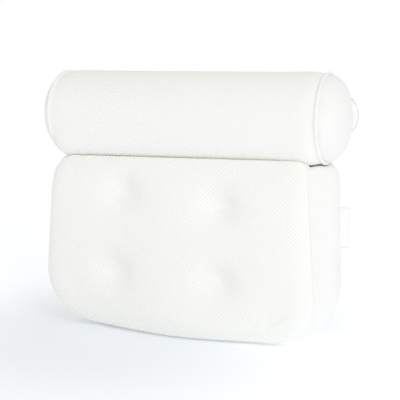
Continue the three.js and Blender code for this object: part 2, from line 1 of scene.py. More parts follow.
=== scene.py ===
# %% [markdown]
# # A bath pillow in two parts
#
# A round neck roll rests on a tufted back pad. Both are sewn from white spacer mesh and plain knit, with
# piping in the seams, and clear suction cups stand behind them. Their construction, with every size, place
# and joint, comes packed as a fixed frame. This lesson dresses that frame in fabric, thread and plastic.

# %% Load the frame
import json
import math

import bmesh
import bpy
import numpy as np
from mathutils import Matrix, Vector


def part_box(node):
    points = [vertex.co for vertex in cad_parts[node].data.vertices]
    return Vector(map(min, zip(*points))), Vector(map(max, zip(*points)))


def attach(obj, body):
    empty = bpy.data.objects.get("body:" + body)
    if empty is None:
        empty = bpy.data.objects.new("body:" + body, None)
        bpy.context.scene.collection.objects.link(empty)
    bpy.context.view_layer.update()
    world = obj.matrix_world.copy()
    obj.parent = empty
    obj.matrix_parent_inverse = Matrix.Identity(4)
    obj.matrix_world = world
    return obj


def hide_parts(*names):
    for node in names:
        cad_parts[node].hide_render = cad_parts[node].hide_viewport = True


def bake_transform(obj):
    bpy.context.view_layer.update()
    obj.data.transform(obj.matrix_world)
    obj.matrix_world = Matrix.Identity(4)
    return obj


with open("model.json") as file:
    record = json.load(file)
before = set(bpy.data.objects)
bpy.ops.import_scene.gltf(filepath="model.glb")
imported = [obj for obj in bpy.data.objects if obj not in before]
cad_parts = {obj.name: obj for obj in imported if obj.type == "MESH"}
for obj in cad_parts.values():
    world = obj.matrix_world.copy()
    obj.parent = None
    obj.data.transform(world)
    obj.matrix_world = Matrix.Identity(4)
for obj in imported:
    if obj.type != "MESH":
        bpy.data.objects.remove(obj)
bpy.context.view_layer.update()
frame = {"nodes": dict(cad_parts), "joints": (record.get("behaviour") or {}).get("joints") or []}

MM = 0.001
joints = {joint["name"]: joint for joint in frame["joints"]}

# %% [markdown]
# ## Camera
#
# The view was found by fitting a pinhole camera to the two end seams of the roll, which are circles of one
# size at a known distance from each other. It stands to the right of the pillow and a little above it.

# %% Place the camera
VIEW_AZIMUTH = math.radians(22.93)
VIEW_ELEVATION = math.radians(8.72)
VIEW_DISTANCE = 1.08
VIEW_TARGET = Vector((0.0131, -0.0113, 0.1515))
VIEW_LENS = 84.8

towards_camera = Vector((
    math.sin(VIEW_AZIMUTH) * math.cos(VIEW_ELEVATION),
    -math.cos(VIEW_AZIMUTH) * math.cos(VIEW_ELEVATION),
    math.sin(VIEW_ELEVATION),
))
camera_data = bpy.data.cameras.new("camera")
camera_data.lens = VIEW_LENS
camera = bpy.data.objects.new("camera", camera_data)
camera.location = VIEW_TARGET + towards_camera * VIEW_DISTANCE
camera.rotation_euler = towards_camera.to_track_quat("Z", "Y").to_euler()
bpy.context.scene.collection.objects.link(camera)
bpy.context.scene.camera = camera
print("camera at", camera.location[:])

# %% [markdown]
# ## Colours and nodes
#
# Colours are written as the sRGB values that a colour picker shows, and one function turns them into the
# linear light that Blender works in. Shader trees and Geometry Nodes trees are built by the same small
# function: it adds a node, sets its properties, and gives each input a value or a link.

# %% Colour and node helpers


def linear(hex_colour):
    """An sRGB hex colour as linear RGBA."""
    channels = [int(hex_colour[i:i + 2], 16) / 255 for i in (1, 3, 5)]
    return [c / 12.92 if c <= 0.04045 else ((c + 0.055) / 1.055) ** 2.4 for c in channels] + [1.0]


def add(tree, kind, inputs=None, **settings):
    """Adds a node with its settings, and gives each input a value or a link from another node's output."""
    node = tree.nodes.new(kind)
    for name, value in settings.items():
        setattr(node, name, value)
    for socket, value in (inputs or {}).items():
        if isinstance(value, bpy.types.NodeSocket):
            tree.links.new(value, node.inputs[socket])
        else:
            node.inputs[socket].default_value = value
    return node


def finish_of(name, colour, roughness, **sockets):
    """A material with constant values on its shader's own sockets."""
    material = bpy.data.materials.new(name)
    material.use_nodes = True
    shader = material.node_tree.nodes["Principled BSDF"]
    shader.inputs["Base Color"].default_value = linear(colour)
    shader.inputs["Roughness"].default_value = roughness
    for socket, value in sockets.items():
        shader.inputs[socket.replace("_", " ")].default_value = value
    return material, material.node_tree, shader


# %% [markdown]
# ## Spacer mesh
#
# The roll's sleeve and the pad's front are warp-knitted polyester spacer mesh. It is matt and white, and an
# even lattice of pits runs diagonally over it. The pits are real relief, made further down; the material
# paints shade into them, a grey where light hardly reaches, and gives the yarn its fine grain. It reads
# the piece's own UV map, which is laid out in metres, so the lattice keeps its size on every piece.

# %% Spacer mesh material
MESH_PITCH = 4.45 * MM  # from pit to pit along a row; every second row is half a pitch across
YARN_GRAIN = 0.7 * MM
FREE = "free_of_seam"  # how free the fabric is of its seam, 0 to 1, at each point of a piece


def crossed_waves(tree, place, rate, axes, wave):
    """The product of two waves, one along each of two axes."""
    turns = add(tree, "ShaderNodeVectorMath", {0: place, "Scale": rate}, operation="SCALE")
    parts = add(tree, "ShaderNodeSeparateXYZ", {0: turns.outputs[0]}).outputs
    waves = [add(tree, "ShaderNodeMath", {0: parts[axis]}, operation=wave).outputs[0] for axis in axes]
    return add(tree, "ShaderNodeMath", dict(enumerate(waves)), operation="MULTIPLY").outputs[0]


def spacer_mesh():
    """Matt and white, with painted shade inside its pits and the fine grain of yarn."""
    material, tree, shader = finish_of(
        "knitted polyester spacer mesh", "#F9F9F6", 0.9, Sheen_Weight=0.1, Sheen_Roughness=0.6)
    uv = add(tree, "ShaderNodeUVMap", uv_map="UVMap").outputs["UV"]
    lattice = crossed_waves(tree, uv, math.tau / MESH_PITCH, "XY", "COSINE")
    free = add(tree, "ShaderNodeAttribute", attribute_name=FREE).outputs["Fac"]
    # Painted shade: the ramp below greys each pit where the lattice sinks it, and fades out near the seams.
    depth = add(tree, "ShaderNodeMath", {0: lattice, 1: free}, operation="MULTIPLY").outputs[0]
    level = add(tree, "ShaderNodeMapRange", {"Value": depth, "From Min": -1.0, "From Max": 1.0}).outputs[0]
    shade = add(tree, "ShaderNodeValToRGB", {0: level})
    shade.color_ramp.elements[0].color = linear("#FEFEFB")
    shade.color_ramp.elements[1].color = linear("#F3F3EF")
    tree.links.new(shade.outputs["Color"], shader.inputs["Base Color"])
    grain = add(tree, "ShaderNodeTexNoise", {"Vector": uv, "Scale": 1 / YARN_GRAIN, "Detail": 2.0})
    bump = add(tree, "ShaderNodeBump", {"Strength": 0.25, "Distance": 0.3 * MM, "Height": grain.outputs[0]})
    tree.links.new(bump.outputs[0], shader.inputs["Normal"])
    return material


# %% [markdown]
# ## Plain knit, piping, backing, tape and thread
#
# The gusset and the roll's ends are a smooth polyester jersey with fine wales, ribs of knitted loops, that
# run across the band. The piping is the same cloth cut on the bias, so its grain is finer and has no
# direction. The backing behind the pad is a plain weave, over one and under one. The tag is satin tape with a
# close crosswise rib, and the thread is glossy twisted polyester. Wales and threads finer than a pixel are
# drawn about twice as coarse as they are, so that they still show close up.

# %% Fabric materials
JERSEY_WALE = 1.4 * MM
WEAVE_THREAD = 1.2 * MM
SATIN_RIB = 0.8 * MM
BIAS_GRAIN = 0.9 * MM
THREAD_TWIST = 0.4 * MM
WADDING_TUFT = 9 * MM
KNIT_CLOUD = 18 * MM  # a slight change of tone over the jersey
BAND_RATE = math.tau / 20  # the wave texture's scale for bands one metre wide, as Blender counts them


def fine_grain(tree, shader, grain, detail, strength, depth):
    """Gives a surface an undirected relief of a noise, its grain and its depth in metres."""
    place = add(tree, "ShaderNodeTexCoord").outputs["Object"]
    noise = add(tree, "ShaderNodeTexNoise", {"Vector": place, "Scale": 1 / grain, "Detail": detail})
    bump = add(tree, "ShaderNodeBump", {"Strength": strength, "Distance": depth, "Height": noise.outputs[0]})
    tree.links.new(bump.outputs[0], shader.inputs["Normal"])


def jersey():
    """Smooth and softly shaded, with fine wales and a slight change of tone."""
    material, tree, shader = finish_of(
        "smooth polyester jersey", "#FBFBF9", 0.85, Sheen_Weight=0.2, Sheen_Roughness=0.5)
    uv = add(tree, "ShaderNodeUVMap", uv_map="UVMap").outputs["UV"]
    wales = add(tree, "ShaderNodeTexWave", {"Vector": uv, "Scale": BAND_RATE / JERSEY_WALE,
                                            "Distortion": 0.6, "Detail": 1.0})
    cloud = add(tree, "ShaderNodeTexNoise", {"Vector": uv, "Scale": 1 / KNIT_CLOUD, "Detail": 3.0})
    tone = add(tree, "ShaderNodeValToRGB", {0: cloud.outputs[0]})
    tone.color_ramp.elements[0].color = linear("#F2F2F0")
    tone.color_ramp.elements[1].color = linear("#F7F7F5")
    tree.links.new(tone.outputs["Color"], shader.inputs["Base Color"])
    bump = add(tree, "ShaderNodeBump", {"Strength": 0.18, "Distance": 0.25 * MM, "Height": wales.outputs[0]})
    tree.links.new(bump.outputs[0], shader.inputs["Normal"])
    return material


def bias_piping():
    """A soft, even line that stays a little darker than the mesh beside it."""
    material, tree, shader = finish_of(
        "bias-cut piping over a cotton cord", "#F6F6F4", 0.8, Sheen_Weight=0.2, Sheen_Roughness=0.5)
    fine_grain(tree, shader, BIAS_GRAIN, 3.0, 0.3, 0.25 * MM)
    return material


def plain_weave():
    """Dull and a shade greyer than the covers, with a fine check of threads."""
    material, tree, shader = finish_of("plain-woven polyester backing", "#F0F0EF", 0.92, Sheen_Weight=0.1)
    place = add(tree, "ShaderNodeTexCoord").outputs["Object"]
    weave = crossed_waves(tree, place, math.pi / WEAVE_THREAD, "XZ", "SINE")
    tone = add(tree, "ShaderNodeValToRGB", {0: weave})
    tone.color_ramp.elements[0].color = linear("#E9E9E8")
    tone.color_ramp.elements[1].color = linear("#F3F3F2")
    tree.links.new(tone.outputs["Color"], shader.inputs["Base Color"])
    bump = add(tree, "ShaderNodeBump", {"Strength": 0.4, "Distance": 0.2 * MM, "Height": weave})
    tree.links.new(bump.outputs[0], shader.inputs["Normal"])
    return material


def satin_tape():
    """Brighter and smoother than the covers, with a close crosswise rib."""
    material, tree, shader = finish_of(
        "woven satin tape", "#FEFEFD", 0.45, Sheen_Weight=0.3, Sheen_Roughness=0.3)
    place = add(tree, "ShaderNodeTexCoord").outputs["Object"]
    ribs = add(tree, "ShaderNodeTexWave", {"Vector": place, "Scale": BAND_RATE / SATIN_RIB},
               bands_direction="Z")
    bump = add(tree, "ShaderNodeBump", {"Strength": 0.2, "Distance": 0.1 * MM, "Height": ribs.outputs[0]})
    tree.links.new(bump.outputs[0], shader.inputs["Normal"])
    return material


def sewing_thread():
    """Glossier than the cloth it lies on, and twisted."""
    material, tree, shader = finish_of("twisted polyester thread", "#FBFBFA", 0.55, Sheen_Weight=0.3)
    fine_grain(tree, shader, THREAD_TWIST, 1.0, 0.4, 0.1 * MM)
    return material


def fibre_wadding():
    """Dull, cloudy tufts, of which hardly anything shows outside the covers."""
    material, tree, shader = finish_of("polyester fibre wadding", "#F2F2EE", 1.0, Sheen_Weight=0.3)
    fine_grain(tree, shader, WADDING_TUFT, 6.0, 0.8, 2 * MM)
    return material


# %% [markdown]
# ## Plastics
#
# The suction cups are soft clear PVC, moulded and glossy, so most of what the eye sees is the light that
# bends at their edges. The eyelet washers inside the covers are moulded polypropylene, white and slightly
# waxy, with a very fine moulded grain.

# %% Plastic materials
MELT_FLOW = 7 * MM  # the slight unevenness of a soft moulding
MOULD_GRAIN = 0.5 * MM


def clear_pvc():
    """Clear and glossy: its edges and highlights show, and what lies behind it."""
    material, tree, shader = finish_of(
        "clear soft PVC", "#FBFCFC", 0.07, IOR=1.53, Transmission_Weight=1.0)
    fine_grain(tree, shader, MELT_FLOW, 2.0, 0.05, 0.3 * MM)
    return material


def moulded_polypropylene():
    """White and slightly waxy, with soft highlights."""
    material, tree, shader = finish_of("moulded polypropylene", "#F3F3F1", 0.42, IOR=1.49)
    fine_grain(tree, shader, MOULD_GRAIN, 2.0, 0.1, 0.05 * MM)
    return material


FINISHES = {
    "air_mesh": spacer_mesh(),
    "cover_knit": jersey(),
    "piping": bias_piping(),
    "filling": fibre_wadding(),
    "backing": plain_weave(),
    "tag_satin": satin_tape(),
    "thread": sewing_thread(),
    "washer_plastic": moulded_polypropylene(),
    "clear_pvc": clear_pvc(),
}
print("materials:", [material.name for material in FINISHES.values()])

# %% [markdown]
# ## Seams, as the frame has them
#
# Every soft piece hangs between seams, so the seams come first. The pad has two, a front and a rear one, each
# a rounded rectangle whose piping stands a little outside it, and the frame's piping nodes give their size.
# The corners' roundings and the slight taper to the top are the pattern cutter's choice and are named here;
# no two corners of a stuffed front come out alike. The roll has a round seam at each end.

# %% Seam sizes
PIPING_RADIUS = 2 * MM
PIPING_FLANGE = 1.2 * MM  # between a seam and the cord of its piping
PIPING_REACH = 2 * PIPING_RADIUS + PIPING_FLANGE
ROLL_DRAW = 6 * MM  # the sleeve's radius is this much less at its seams
ROLL_SHOULDER = 20 * MM
ROLL_REST = 0.3 * MM  # left between the roll and the gusset it rests on
SIDES = ("left", "right")


def middle_of(node):
    """The middle of a frame node's box."""
    return [(low + high) / 2 for low, high in zip(*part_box(node))]


def seam_of(piping, corners, drawn):
    """A seam inside its piping, with each corner's rounding and how far it is drawn in sideways.

    The corners go from the lower right up and round to the lower left.
    """
    low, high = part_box(piping)
    return {
        "y": middle_of(piping)[1],
        "half_width": high.x - PIPING_REACH,
        "low": low.z + PIPING_REACH,
        "high": high.z - PIPING_REACH,
        "corners": corners,
        "drawn": drawn,
    }


FRONT_SEAM = seam_of("pad_front_piping", np.array([46, 6, 19, 58]) * MM, np.array([1, 11, 5, -4]) * MM)
REAR_SEAM = seam_of("pad_back_piping", np.array([68, 22, 22, 56]) * MM, np.array([0, 2, 2, 0]) * MM)
PAD_BACK_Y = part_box("pad_back_panel")[1].y

sleeve_low, sleeve_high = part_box("roll_sleeve")
ROLL_Y, ROLL_Z = middle_of("roll_sleeve")[1:]
ROLL_RADIUS = (sleeve_high.z - sleeve_low.z) / 2
ROLL_SEAM_X = sleeve_high.x
ROLL_SEAM_RADIUS = ROLL_RADIUS - ROLL_DRAW
print("front seam", FRONT_SEAM)
print("roll radius", ROLL_RADIUS, "at", ROLL_Y, ROLL_Z)

# %% [markdown]
# ## Outlines and grids
#
# A seam's outline is cut in four runs at the middles of its corners. Points at equal steps along the runs,
# blended from all four sides (a Coons patch), give an even grid of squares over the whole panel. Such a grid
# suits cloth simulation, subdivides smoothly and has no pole. A round seam is the same with four
# quarter-circle corners about one middle.

# %% Outline helpers
ARC_POINTS = 40
LEAST_CORNER = 2 * MM  # an outline that is set in past its corners keeps this rounding


def evenly(line, count):
    """count + 1 points at equal steps along a line of points."""
    steps = np.linalg.norm(np.diff(line, axis=0), axis=1)
    along = np.concatenate([[0], np.cumsum(steps)])
    at = np.linspace(0, along[-1], count + 1)
    return np.stack([np.interp(at, along, line[:, k]) for k in range(line.shape[1])], axis=1)


def length_of(line):
    return float(np.linalg.norm(np.diff(line, axis=0), axis=1).sum())


def once_round(count):
    """Angles at equal steps once round a circle."""
    return np.arange(count) * math.tau / count


def seam_corners(seam):
    """Middle, radius and first angle of each corner, from the lower right round to the lower left."""
    corners = []
    for k, (radius, drawn) in enumerate(zip(seam["corners"], seam["drawn"])):
        side = 1 if k in (0, 1) else -1
        z = seam["low"] + radius if k in (0, 3) else seam["high"] - radius
        corners.append((side * (seam["half_width"] - drawn - radius), z, radius, 90 * (k - 1)))
    return corners


def round_corners(radius):
    """A circle, as the corners of an outline."""
    return square_corners(2 * radius, radius)


def square_corners(side, corner):
    """A rounded square about its own middle, as the corners of an outline."""
    middle = side / 2 - corner
    signs = ((1, -1), (1, 1), (-1, 1), (-1, -1))
    return [(x * middle, z * middle, corner, 90 * (k - 1)) for k, (x, z) in enumerate(signs)]


def outline_runs(corners, counts, grow=0.0):
    """Four runs of even points: up the right, left along the top, down the left, right along the bottom."""
    runs = []
    for k, count in enumerate(counts):
        halves = []
        for (x, z, radius, start), first in ((corners[k], 45), (corners[k - 3], 0)):
            angle = np.radians(start + np.linspace(first, first + 45, ARC_POINTS))
            reach = max(radius + grow, LEAST_CORNER)
            outwards = np.sign(np.cos(np.radians([start + 45, start - 45])))
            middle = np.array([x, z]) + (radius + grow - reach) * outwards
            halves.append(middle + reach * np.stack([np.cos(angle), np.sin(angle)], axis=1))
        runs.append(evenly(np.concatenate(halves), count))
    return runs


def outline_loop(corners, count, grow=0.0):
    """An outline as even points once round, from the middle of its lower right corner."""
    runs = outline_runs(corners, (ARC_POINTS,) * 4, grow)
    line = np.concatenate([run[:-1] for run in runs] + [runs[0][:1]])
    return evenly(line, count)[:-1]


def outward(loop):
    """Outward directions of a loop of points."""
    along = np.roll(loop, -1, axis=0) - np.roll(loop, 1, axis=0)
    normal = np.stack([along[:, 1], -along[:, 0]], axis=1)
    return normal / np.linalg.norm(normal, axis=1, keepdims=True)


# %% Grid helper


def patch_grid(runs):
    """Even grid inside four runs, rows upwards and columns to the right."""
    right, top, left, bottom = runs
    top, left = top[::-1], left[::-1]
    u = np.linspace(0, 1, len(bottom))[None, :, None]
    v = np.linspace(0, 1, len(right))[:, None, None]
    between = (1 - v) * bottom[None] + v * top[None] + (1 - u) * left[:, None] + u * right[:, None]
    corners = ((1 - v) * ((1 - u) * bottom[0] + u * bottom[-1]) + v * ((1 - u) * top[0] + u * top[-1]))
    return between - corners


# %% [markdown]
# ## From points to pieces
#
# A piece starts as a grid of points. The helpers below give it faces, a UV map in metres and a finish, and
# turn what its modifiers make into a plain mesh, because the frame takes finished meshes.

# %% Mesh helpers
SEWN = "sewn"


def new_piece(name, points, faces, slot, edges=()):
    mesh = bpy.data.meshes.new(name)
    mesh.from_pydata(np.asarray(points).reshape(-1, 3).tolist(), list(edges), faces)
    mesh.materials.append(FINISHES[slot])
    mesh.shade_smooth()
    piece = bpy.data.objects.new(name, mesh)
    bpy.context.scene.collection.objects.link(piece)
    return piece


def grid_faces(rows, columns, closed=False, flip=False):
    """Four-sided faces between the rows of a grid; a closed grid joins its last column to its first."""
    faces = []
    for r in range(rows - 1):
        for c in range(columns if closed else columns - 1):
            d = (c + 1) % columns
            face = (r * columns + c, r * columns + d, (r + 1) * columns + d, (r + 1) * columns + c)
            faces.append(face[::-1] if flip else face)
    return faces


def grid_piece(name, points, slot, uv, closed=False, flip=False):
    """A grid of points as a piece. A closed grid's UV has one column more than its points."""
    rows, columns = points.shape[:2]
    piece = new_piece(name, points, grid_faces(rows, columns, closed, flip), slot)
    at = [(r + dr, c + dc) for r in range(rows - 1) for c in range(uv.shape[1] - 1)
          for dr, dc in ([(1, 0), (1, 1), (0, 1), (0, 0)] if flip else [(0, 0), (0, 1), (1, 1), (1, 0)])]
    r, c = np.array(at).T
    layer = piece.data.uv_layers.new(name="UVMap")
    layer.data.foreach_set("uv", uv[r, c].astype(np.float32).ravel())
    return piece


# %% Point helpers


def stood_up(flat, y):
    """Flat points, across and up, stood up in the room at depth y."""
    return np.stack(np.broadcast_arrays(flat[..., 0], y, flat[..., 1]), axis=-1)


def about_roll(x, radius, angle):
    """Points about the roll's axis, at places along it, radii and angles round it."""
    return np.stack(np.broadcast_arrays(x, ROLL_Y + radius * np.cos(angle), ROLL_Z + radius * np.sin(angle)),
                    axis=-1)


def points_of(mesh):
    points = np.zeros(len(mesh.vertices) * 3, np.float32)
    mesh.vertices.foreach_get("co", points)
    return points.reshape(-1, 3).astype(float)


def move_points(mesh, points):
    mesh.vertices.foreach_set("co", np.asarray(points, np.float32).ravel())
    mesh.update()


# %% Finishing helpers


def edit_mesh(piece, change=None):
    """Turns a piece's faces outwards, after a function has changed its mesh."""
    mesh = bmesh.new()
    mesh.from_mesh(piece.data)
    if change:
        change(mesh)
    bmesh.ops.recalc_face_normals(mesh, faces=mesh.faces)
    mesh.to_mesh(piece.data)
    mesh.free()


def settle(piece):
    """Turns what the piece's modifiers make into its own plain mesh."""
    graph = bpy.context.evaluated_depsgraph_get()
    shown = piece.evaluated_get(graph)
    mesh = bpy.data.meshes.new_from_object(shown, preserve_all_data_layers=True, depsgraph=graph)
    piece.modifiers.clear()
    piece.data = mesh
    return piece


def subdivide(piece, levels):
    modifier = piece.modifiers.new("subdivision", "SUBSURF")
    modifier.levels = levels
    modifier.render_levels = levels


def give_thickness(piece, thickness):
    modifier = piece.modifiers.new("thickness", "SOLIDIFY")
    modifier.thickness = thickness
    modifier.offset = -1
    modifier.use_even_offset = True


def dress(piece, body, slot, *nodes):
    """Puts a finished piece on its body, in place of the nodes it stands for."""
    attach(piece, body)
    if nodes:
        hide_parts(*nodes)
    print(piece.name, len(piece.data.polygons), "faces on", body)
    return piece


# %% [markdown]
# ## Stuffing by simulation
#
# Fabric over filling is blown up, not drawn: each panel starts a little flat, is held at its seams and
# tufts, and Blender's Cloth presses on it from inside until it is full. A small negative shrink makes the
# cloth a touch larger than the hole it fills, which brings the slight unevenness of real sewing. How far a
# point may move is capped, so that the panel stays in the space that the frame gives it.

# %% Cloth helper
CLOTH_FRAMES = 20


def stuff(piece, held, pressure, cap, fullness=0.0):
    """Presses a panel out from inside, held at some of its points, and keeps the shape it takes."""
    start = points_of(piece.data)
    piece.vertex_groups.new(name=SEWN).add([int(i) for i in held], 1.0, "REPLACE")
    cloth = piece.modifiers.new("stuffing", "CLOTH")
    settings = cloth.settings
    settings.vertex_group_mass = SEWN
    settings.quality = 6
    settings.mass = 0.15
    settings.use_pressure = True
    settings.uniform_pressure_force = pressure
    settings.shrink_min = -fullness
    settings.bending_stiffness = 1.5
    settings.effector_weights.gravity = 0
    cloth.point_cache.frame_start = 1
    cloth.point_cache.frame_end = CLOTH_FRAMES
    for number in range(1, CLOTH_FRAMES + 1):
        bpy.context.scene.frame_set(number)
    shown = piece.evaluated_get(bpy.context.evaluated_depsgraph_get())
    step = points_of(shown.data) - start
    piece.modifiers.remove(cloth)
    bpy.context.scene.frame_set(1)
    length = np.linalg.norm(step, axis=1, keepdims=True)
    print(piece.name, "stuffed, moved up to %.1f mm" % (length.max() / MM))
    move_points(piece.data, start + step * np.minimum(1, cap / np.maximum(length, 1e-9)))


# %% [markdown]
# ## Relief of the spacer mesh
#
# The lattice of pits follows the surface, so Geometry Nodes make it: the tree reads the UV map, takes the
# product of a wave along and a wave across, and moves each point in or out along its normal. An attribute
# says how free the fabric is, so that the relief dies out where a seam presses it flat.

# %% Relief tree
MESH_RELIEF = 0.35 * MM


def new_tree(name, sockets):
    """An empty Geometry Nodes tree with a geometry in and out and the named inputs."""
    tree = bpy.data.node_groups.new(name, "GeometryNodeTree")
    tree.interface.new_socket("Geometry", in_out="OUTPUT", socket_type="NodeSocketGeometry")
    tree.interface.new_socket("Geometry", in_out="INPUT", socket_type="NodeSocketGeometry")
    for label, kind in sockets.items():
        tree.interface.new_socket(label, in_out="INPUT", socket_type=kind)
    return tree, add(tree, "NodeGroupInput").outputs


def run_tree(piece, tree, values):
    """Adds the tree to a piece, with each named input set by its socket's identifier."""
    modifier = piece.modifiers.new(tree.name, "NODES")
    modifier.node_group = tree
    for item in tree.interface.items_tree:
        if item.in_out == "INPUT" and item.name in values:
            modifier[item.identifier] = values[item.name]


def end_tree(tree, geometry, finish):
    """Ends a tree: its result is shaded smooth, made real and given its finish."""
    smooth = add(tree, "GeometryNodeSetShadeSmooth", {"Geometry": geometry})
    real = add(tree, "GeometryNodeRealizeInstances", {"Geometry": smooth.outputs[0]})
    done = add(tree, "GeometryNodeSetMaterial", {"Geometry": real.outputs[0], "Material": finish})
    add(tree, "NodeGroupOutput", {0: done.outputs[0]})


def push_out(tree, geometry, height):
    """Moves points along their normals."""
    normal = add(tree, "GeometryNodeInputNormal").outputs[0]
    offset = add(tree, "ShaderNodeVectorMath", {0: normal, "Scale": height}, operation="SCALE").outputs[0]
    return add(tree, "GeometryNodeSetPosition", {"Geometry": geometry, "Offset": offset}).outputs[0]


def relief_tree():
    tree, given = new_tree("spacer mesh relief", {
        "Pitch": "NodeSocketFloat", "Depth": "NodeSocketFloat", "Finish": "NodeSocketMaterial"})
    uv = add(tree, "GeometryNodeInputNamedAttribute", {"Name": "UVMap"}, data_type="FLOAT_VECTOR")
    free = add(tree, "GeometryNodeInputNamedAttribute", {"Name": FREE}, data_type="FLOAT")
    rate = add(tree, "ShaderNodeMath", {0: math.tau, 1: given["Pitch"]}, operation="DIVIDE")
    lattice = crossed_waves(tree, uv.outputs[0], rate.outputs[0], "XY", "COSINE")
    deep = add(tree, "ShaderNodeMath", {0: given["Depth"], 1: free.outputs[0]}, operation="MULTIPLY")
    inward = add(tree, "ShaderNodeMath", {0: deep.outputs[0], 1: -1.0}, operation="MULTIPLY")
    height = add(tree, "ShaderNodeMath", {0: lattice, 1: inward.outputs[0]}, operation="MULTIPLY")
    end_tree(tree, push_out(tree, given["Geometry"], height.outputs[0]), given["Finish"])
    return tree


RELIEF = relief_tree()
print("relief tree:", len(RELIEF.nodes), "nodes")

# %% Spacer mesh panels


def knit_relief(piece, free):
    """Subdivides a spacer mesh panel finely and gives it its lattice of pits."""
    piece.data.attributes.new(FREE, "FLOAT", "POINT").data.foreach_set("value", free.astype(np.float32))
    subdivide(piece, 3)
    run_tree(piece, RELIEF, {"Pitch": MESH_PITCH, "Depth": MESH_RELIEF, "Finish": FINISHES["air_mesh"]})
    settle(piece)


def line_inside(piece, inner, close):
    """Closes an open panel: its rims are drawn to inner(point) and joined by a lining."""

    def line(mesh):
        rim = [edge for edge in mesh.edges if edge.is_boundary]
        drawn = bmesh.ops.extrude_edge_only(mesh, edges=rim)["geom"]
        for item in drawn:
            if isinstance(item, bmesh.types.BMVert):
                item.co = inner(item.co)
        close(mesh, edges=[item for item in drawn if isinstance(item, bmesh.types.BMEdge)])

    edit_mesh(piece, line)


# %% [markdown]
# ## Front of the pad
#
# The front is one panel of spacer mesh over fibre. It is cut larger than its seam, so the filling rolls it
# out over the piping all round, and four ties draw it in. Its start is drawn by rule: an even grid for the
# slightly crowned middle, and rings round it that follow an oval out over the seam and back under. Held at
# seam and ties, and pressed out from inside, it then takes its soft dimples by itself. The roll weighs on
# the top of the pad, so front, piping and gusset lean back under it a little. The filling settles, so the
# middle of the front's foot bulges forward, and its lowest edge is tucked under.

# %% Form of the pad's front
EDGE_REACH = 22 * MM  # half axes of the oval that the panel's edge follows
EDGE_DEPTH = 11 * MM
EDGE_TURN = math.radians(135)  # how far round the oval the panel goes before it is sewn
PAD_CROWN = 5 * MM
TUFTS = np.array([(-73, 71), (53, 70), (-64, 163), (55, 153)]) * MM  # x and z; no two are pulled alike
TUFT_DEPTH = 14.5 * MM
TUFT_SPREAD = 14 * MM
FRONT_RIM_DEPTH = 2 * MM
RIM_CLEARANCE = 0.15 * MM  # between the panel's rim and the piping's cord
RIM_POINTS = 720
LEAN_FROM = 150 * MM  # the pad leans back from this height up
LEAN_BACK = 9 * MM
SEAM_PRESS = 2 * MM  # the roll presses the seam down this much
TOP_TILT = 2.7 * MM  # the pad's top is this much lower at the left, and a little higher at the right
LEVEL_AT = 0.15  # it is at its sewn height here, as a share of the half width
TUCK_FROM = 40 * MM  # the pad's foot draws back from this height down
TUCK_BACK = 11 * MM
BELLY = 14 * MM  # in the middle the filling settles and bulges forward, down to the ground
BELLY_TOP = 22 * MM  # the bulge is full up to this height
BELLY_REACH = (130 * MM, 34 * MM)  # and dies out sideways and upwards over these lengths
FOOT_SAG = 2 * MM

FRONT_RIM_Y = FRONT_SEAM["y"] - PIPING_RADIUS - RIM_CLEARANCE
FRONT_MIDDLE_Z = (FRONT_SEAM["low"] + FRONT_SEAM["high"]) / 2
EDGE_INSET = EDGE_REACH * math.sin(EDGE_TURN)  # from the seam in to where the edge begins
EDGE_TOP_Y = FRONT_RIM_Y + EDGE_DEPTH * (math.cos(EDGE_TURN) - 1)


def from_middle(x, z):
    """0 in the middle of the front and 1 where its edge begins, along the ray through each point."""
    rim = outline_loop(seam_corners(FRONT_SEAM), RIM_POINTS, -EDGE_INSET) - (0, FRONT_MIDDLE_Z)
    reach = np.interp(np.arctan2(z - FRONT_MIDDLE_Z, x), np.arctan2(rim[:, 1], rim[:, 0]),
                      np.hypot(rim[:, 0], rim[:, 1]), period=math.tau)
    return np.minimum(1, np.hypot(x, z - FRONT_MIDDLE_Z) / reach)


def dimples(x, z):
    """How far the ties draw the front in at each point."""
    away = [np.hypot(x - tuft_x, z - tuft_z) for tuft_x, tuft_z in TUFTS]
    return TUFT_DEPTH * sum(np.exp(-0.5 * (distance / TUFT_SPREAD) ** 2) for distance in away)


def front_y(x, z, crown):
    return EDGE_TOP_Y - crown * (1 - from_middle(x, z) ** 2) ** 2 + dimples(x, z)


def to_left(x):
    """How much lower the pad's top is, as a share of its tilt."""
    return np.clip((LEVEL_AT - x / FRONT_SEAM["half_width"]) / (1 + LEVEL_AT), -1, 1)


def leaned(points):
    """Points of the pad after it has settled: its top leans back, and its foot bulges and tucks under."""
    x, y, z = points.T
    up = np.clip((z - LEAN_FROM) / (FRONT_SEAM["high"] - LEAN_FROM), 0, 1) ** 2
    under = np.clip((TUCK_FROM - z) / TUCK_FROM, 0, 1) ** 2
    near = np.clip((REAR_SEAM["y"] - y) / (REAR_SEAM["y"] - FRONT_SEAM["y"]), 0, 1)
    at_seam = np.clip((y - EDGE_TOP_Y) / (FRONT_SEAM["y"] - EDGE_TOP_Y), 0, 1) ** 2
    bow = np.clip(1 - (x / BELLY_REACH[0]) ** 2, 0, 1) ** 2
    belly = BELLY * bow * np.exp(-(np.maximum(z - BELLY_TOP, 0) / BELLY_REACH[1]) ** 2)
    back = near * (LEAN_BACK * up + TUCK_BACK * under - belly)
    fall = near * (up * (SEAM_PRESS * at_seam + TOP_TILT * to_left(x)) + under * FOOT_SAG * bow)
    return points + np.stack([0 * x, back, -fall], axis=1)


# %% Middle of the front
FRONT_CELLS = (21, 38, 21, 38)
EDGE_STEPS = 6
STUFFING_ROOM = 1.5 * MM  # a panel starts this much flatter
SEAM_FADE = 2  # the relief is full from this many rings in from the seam


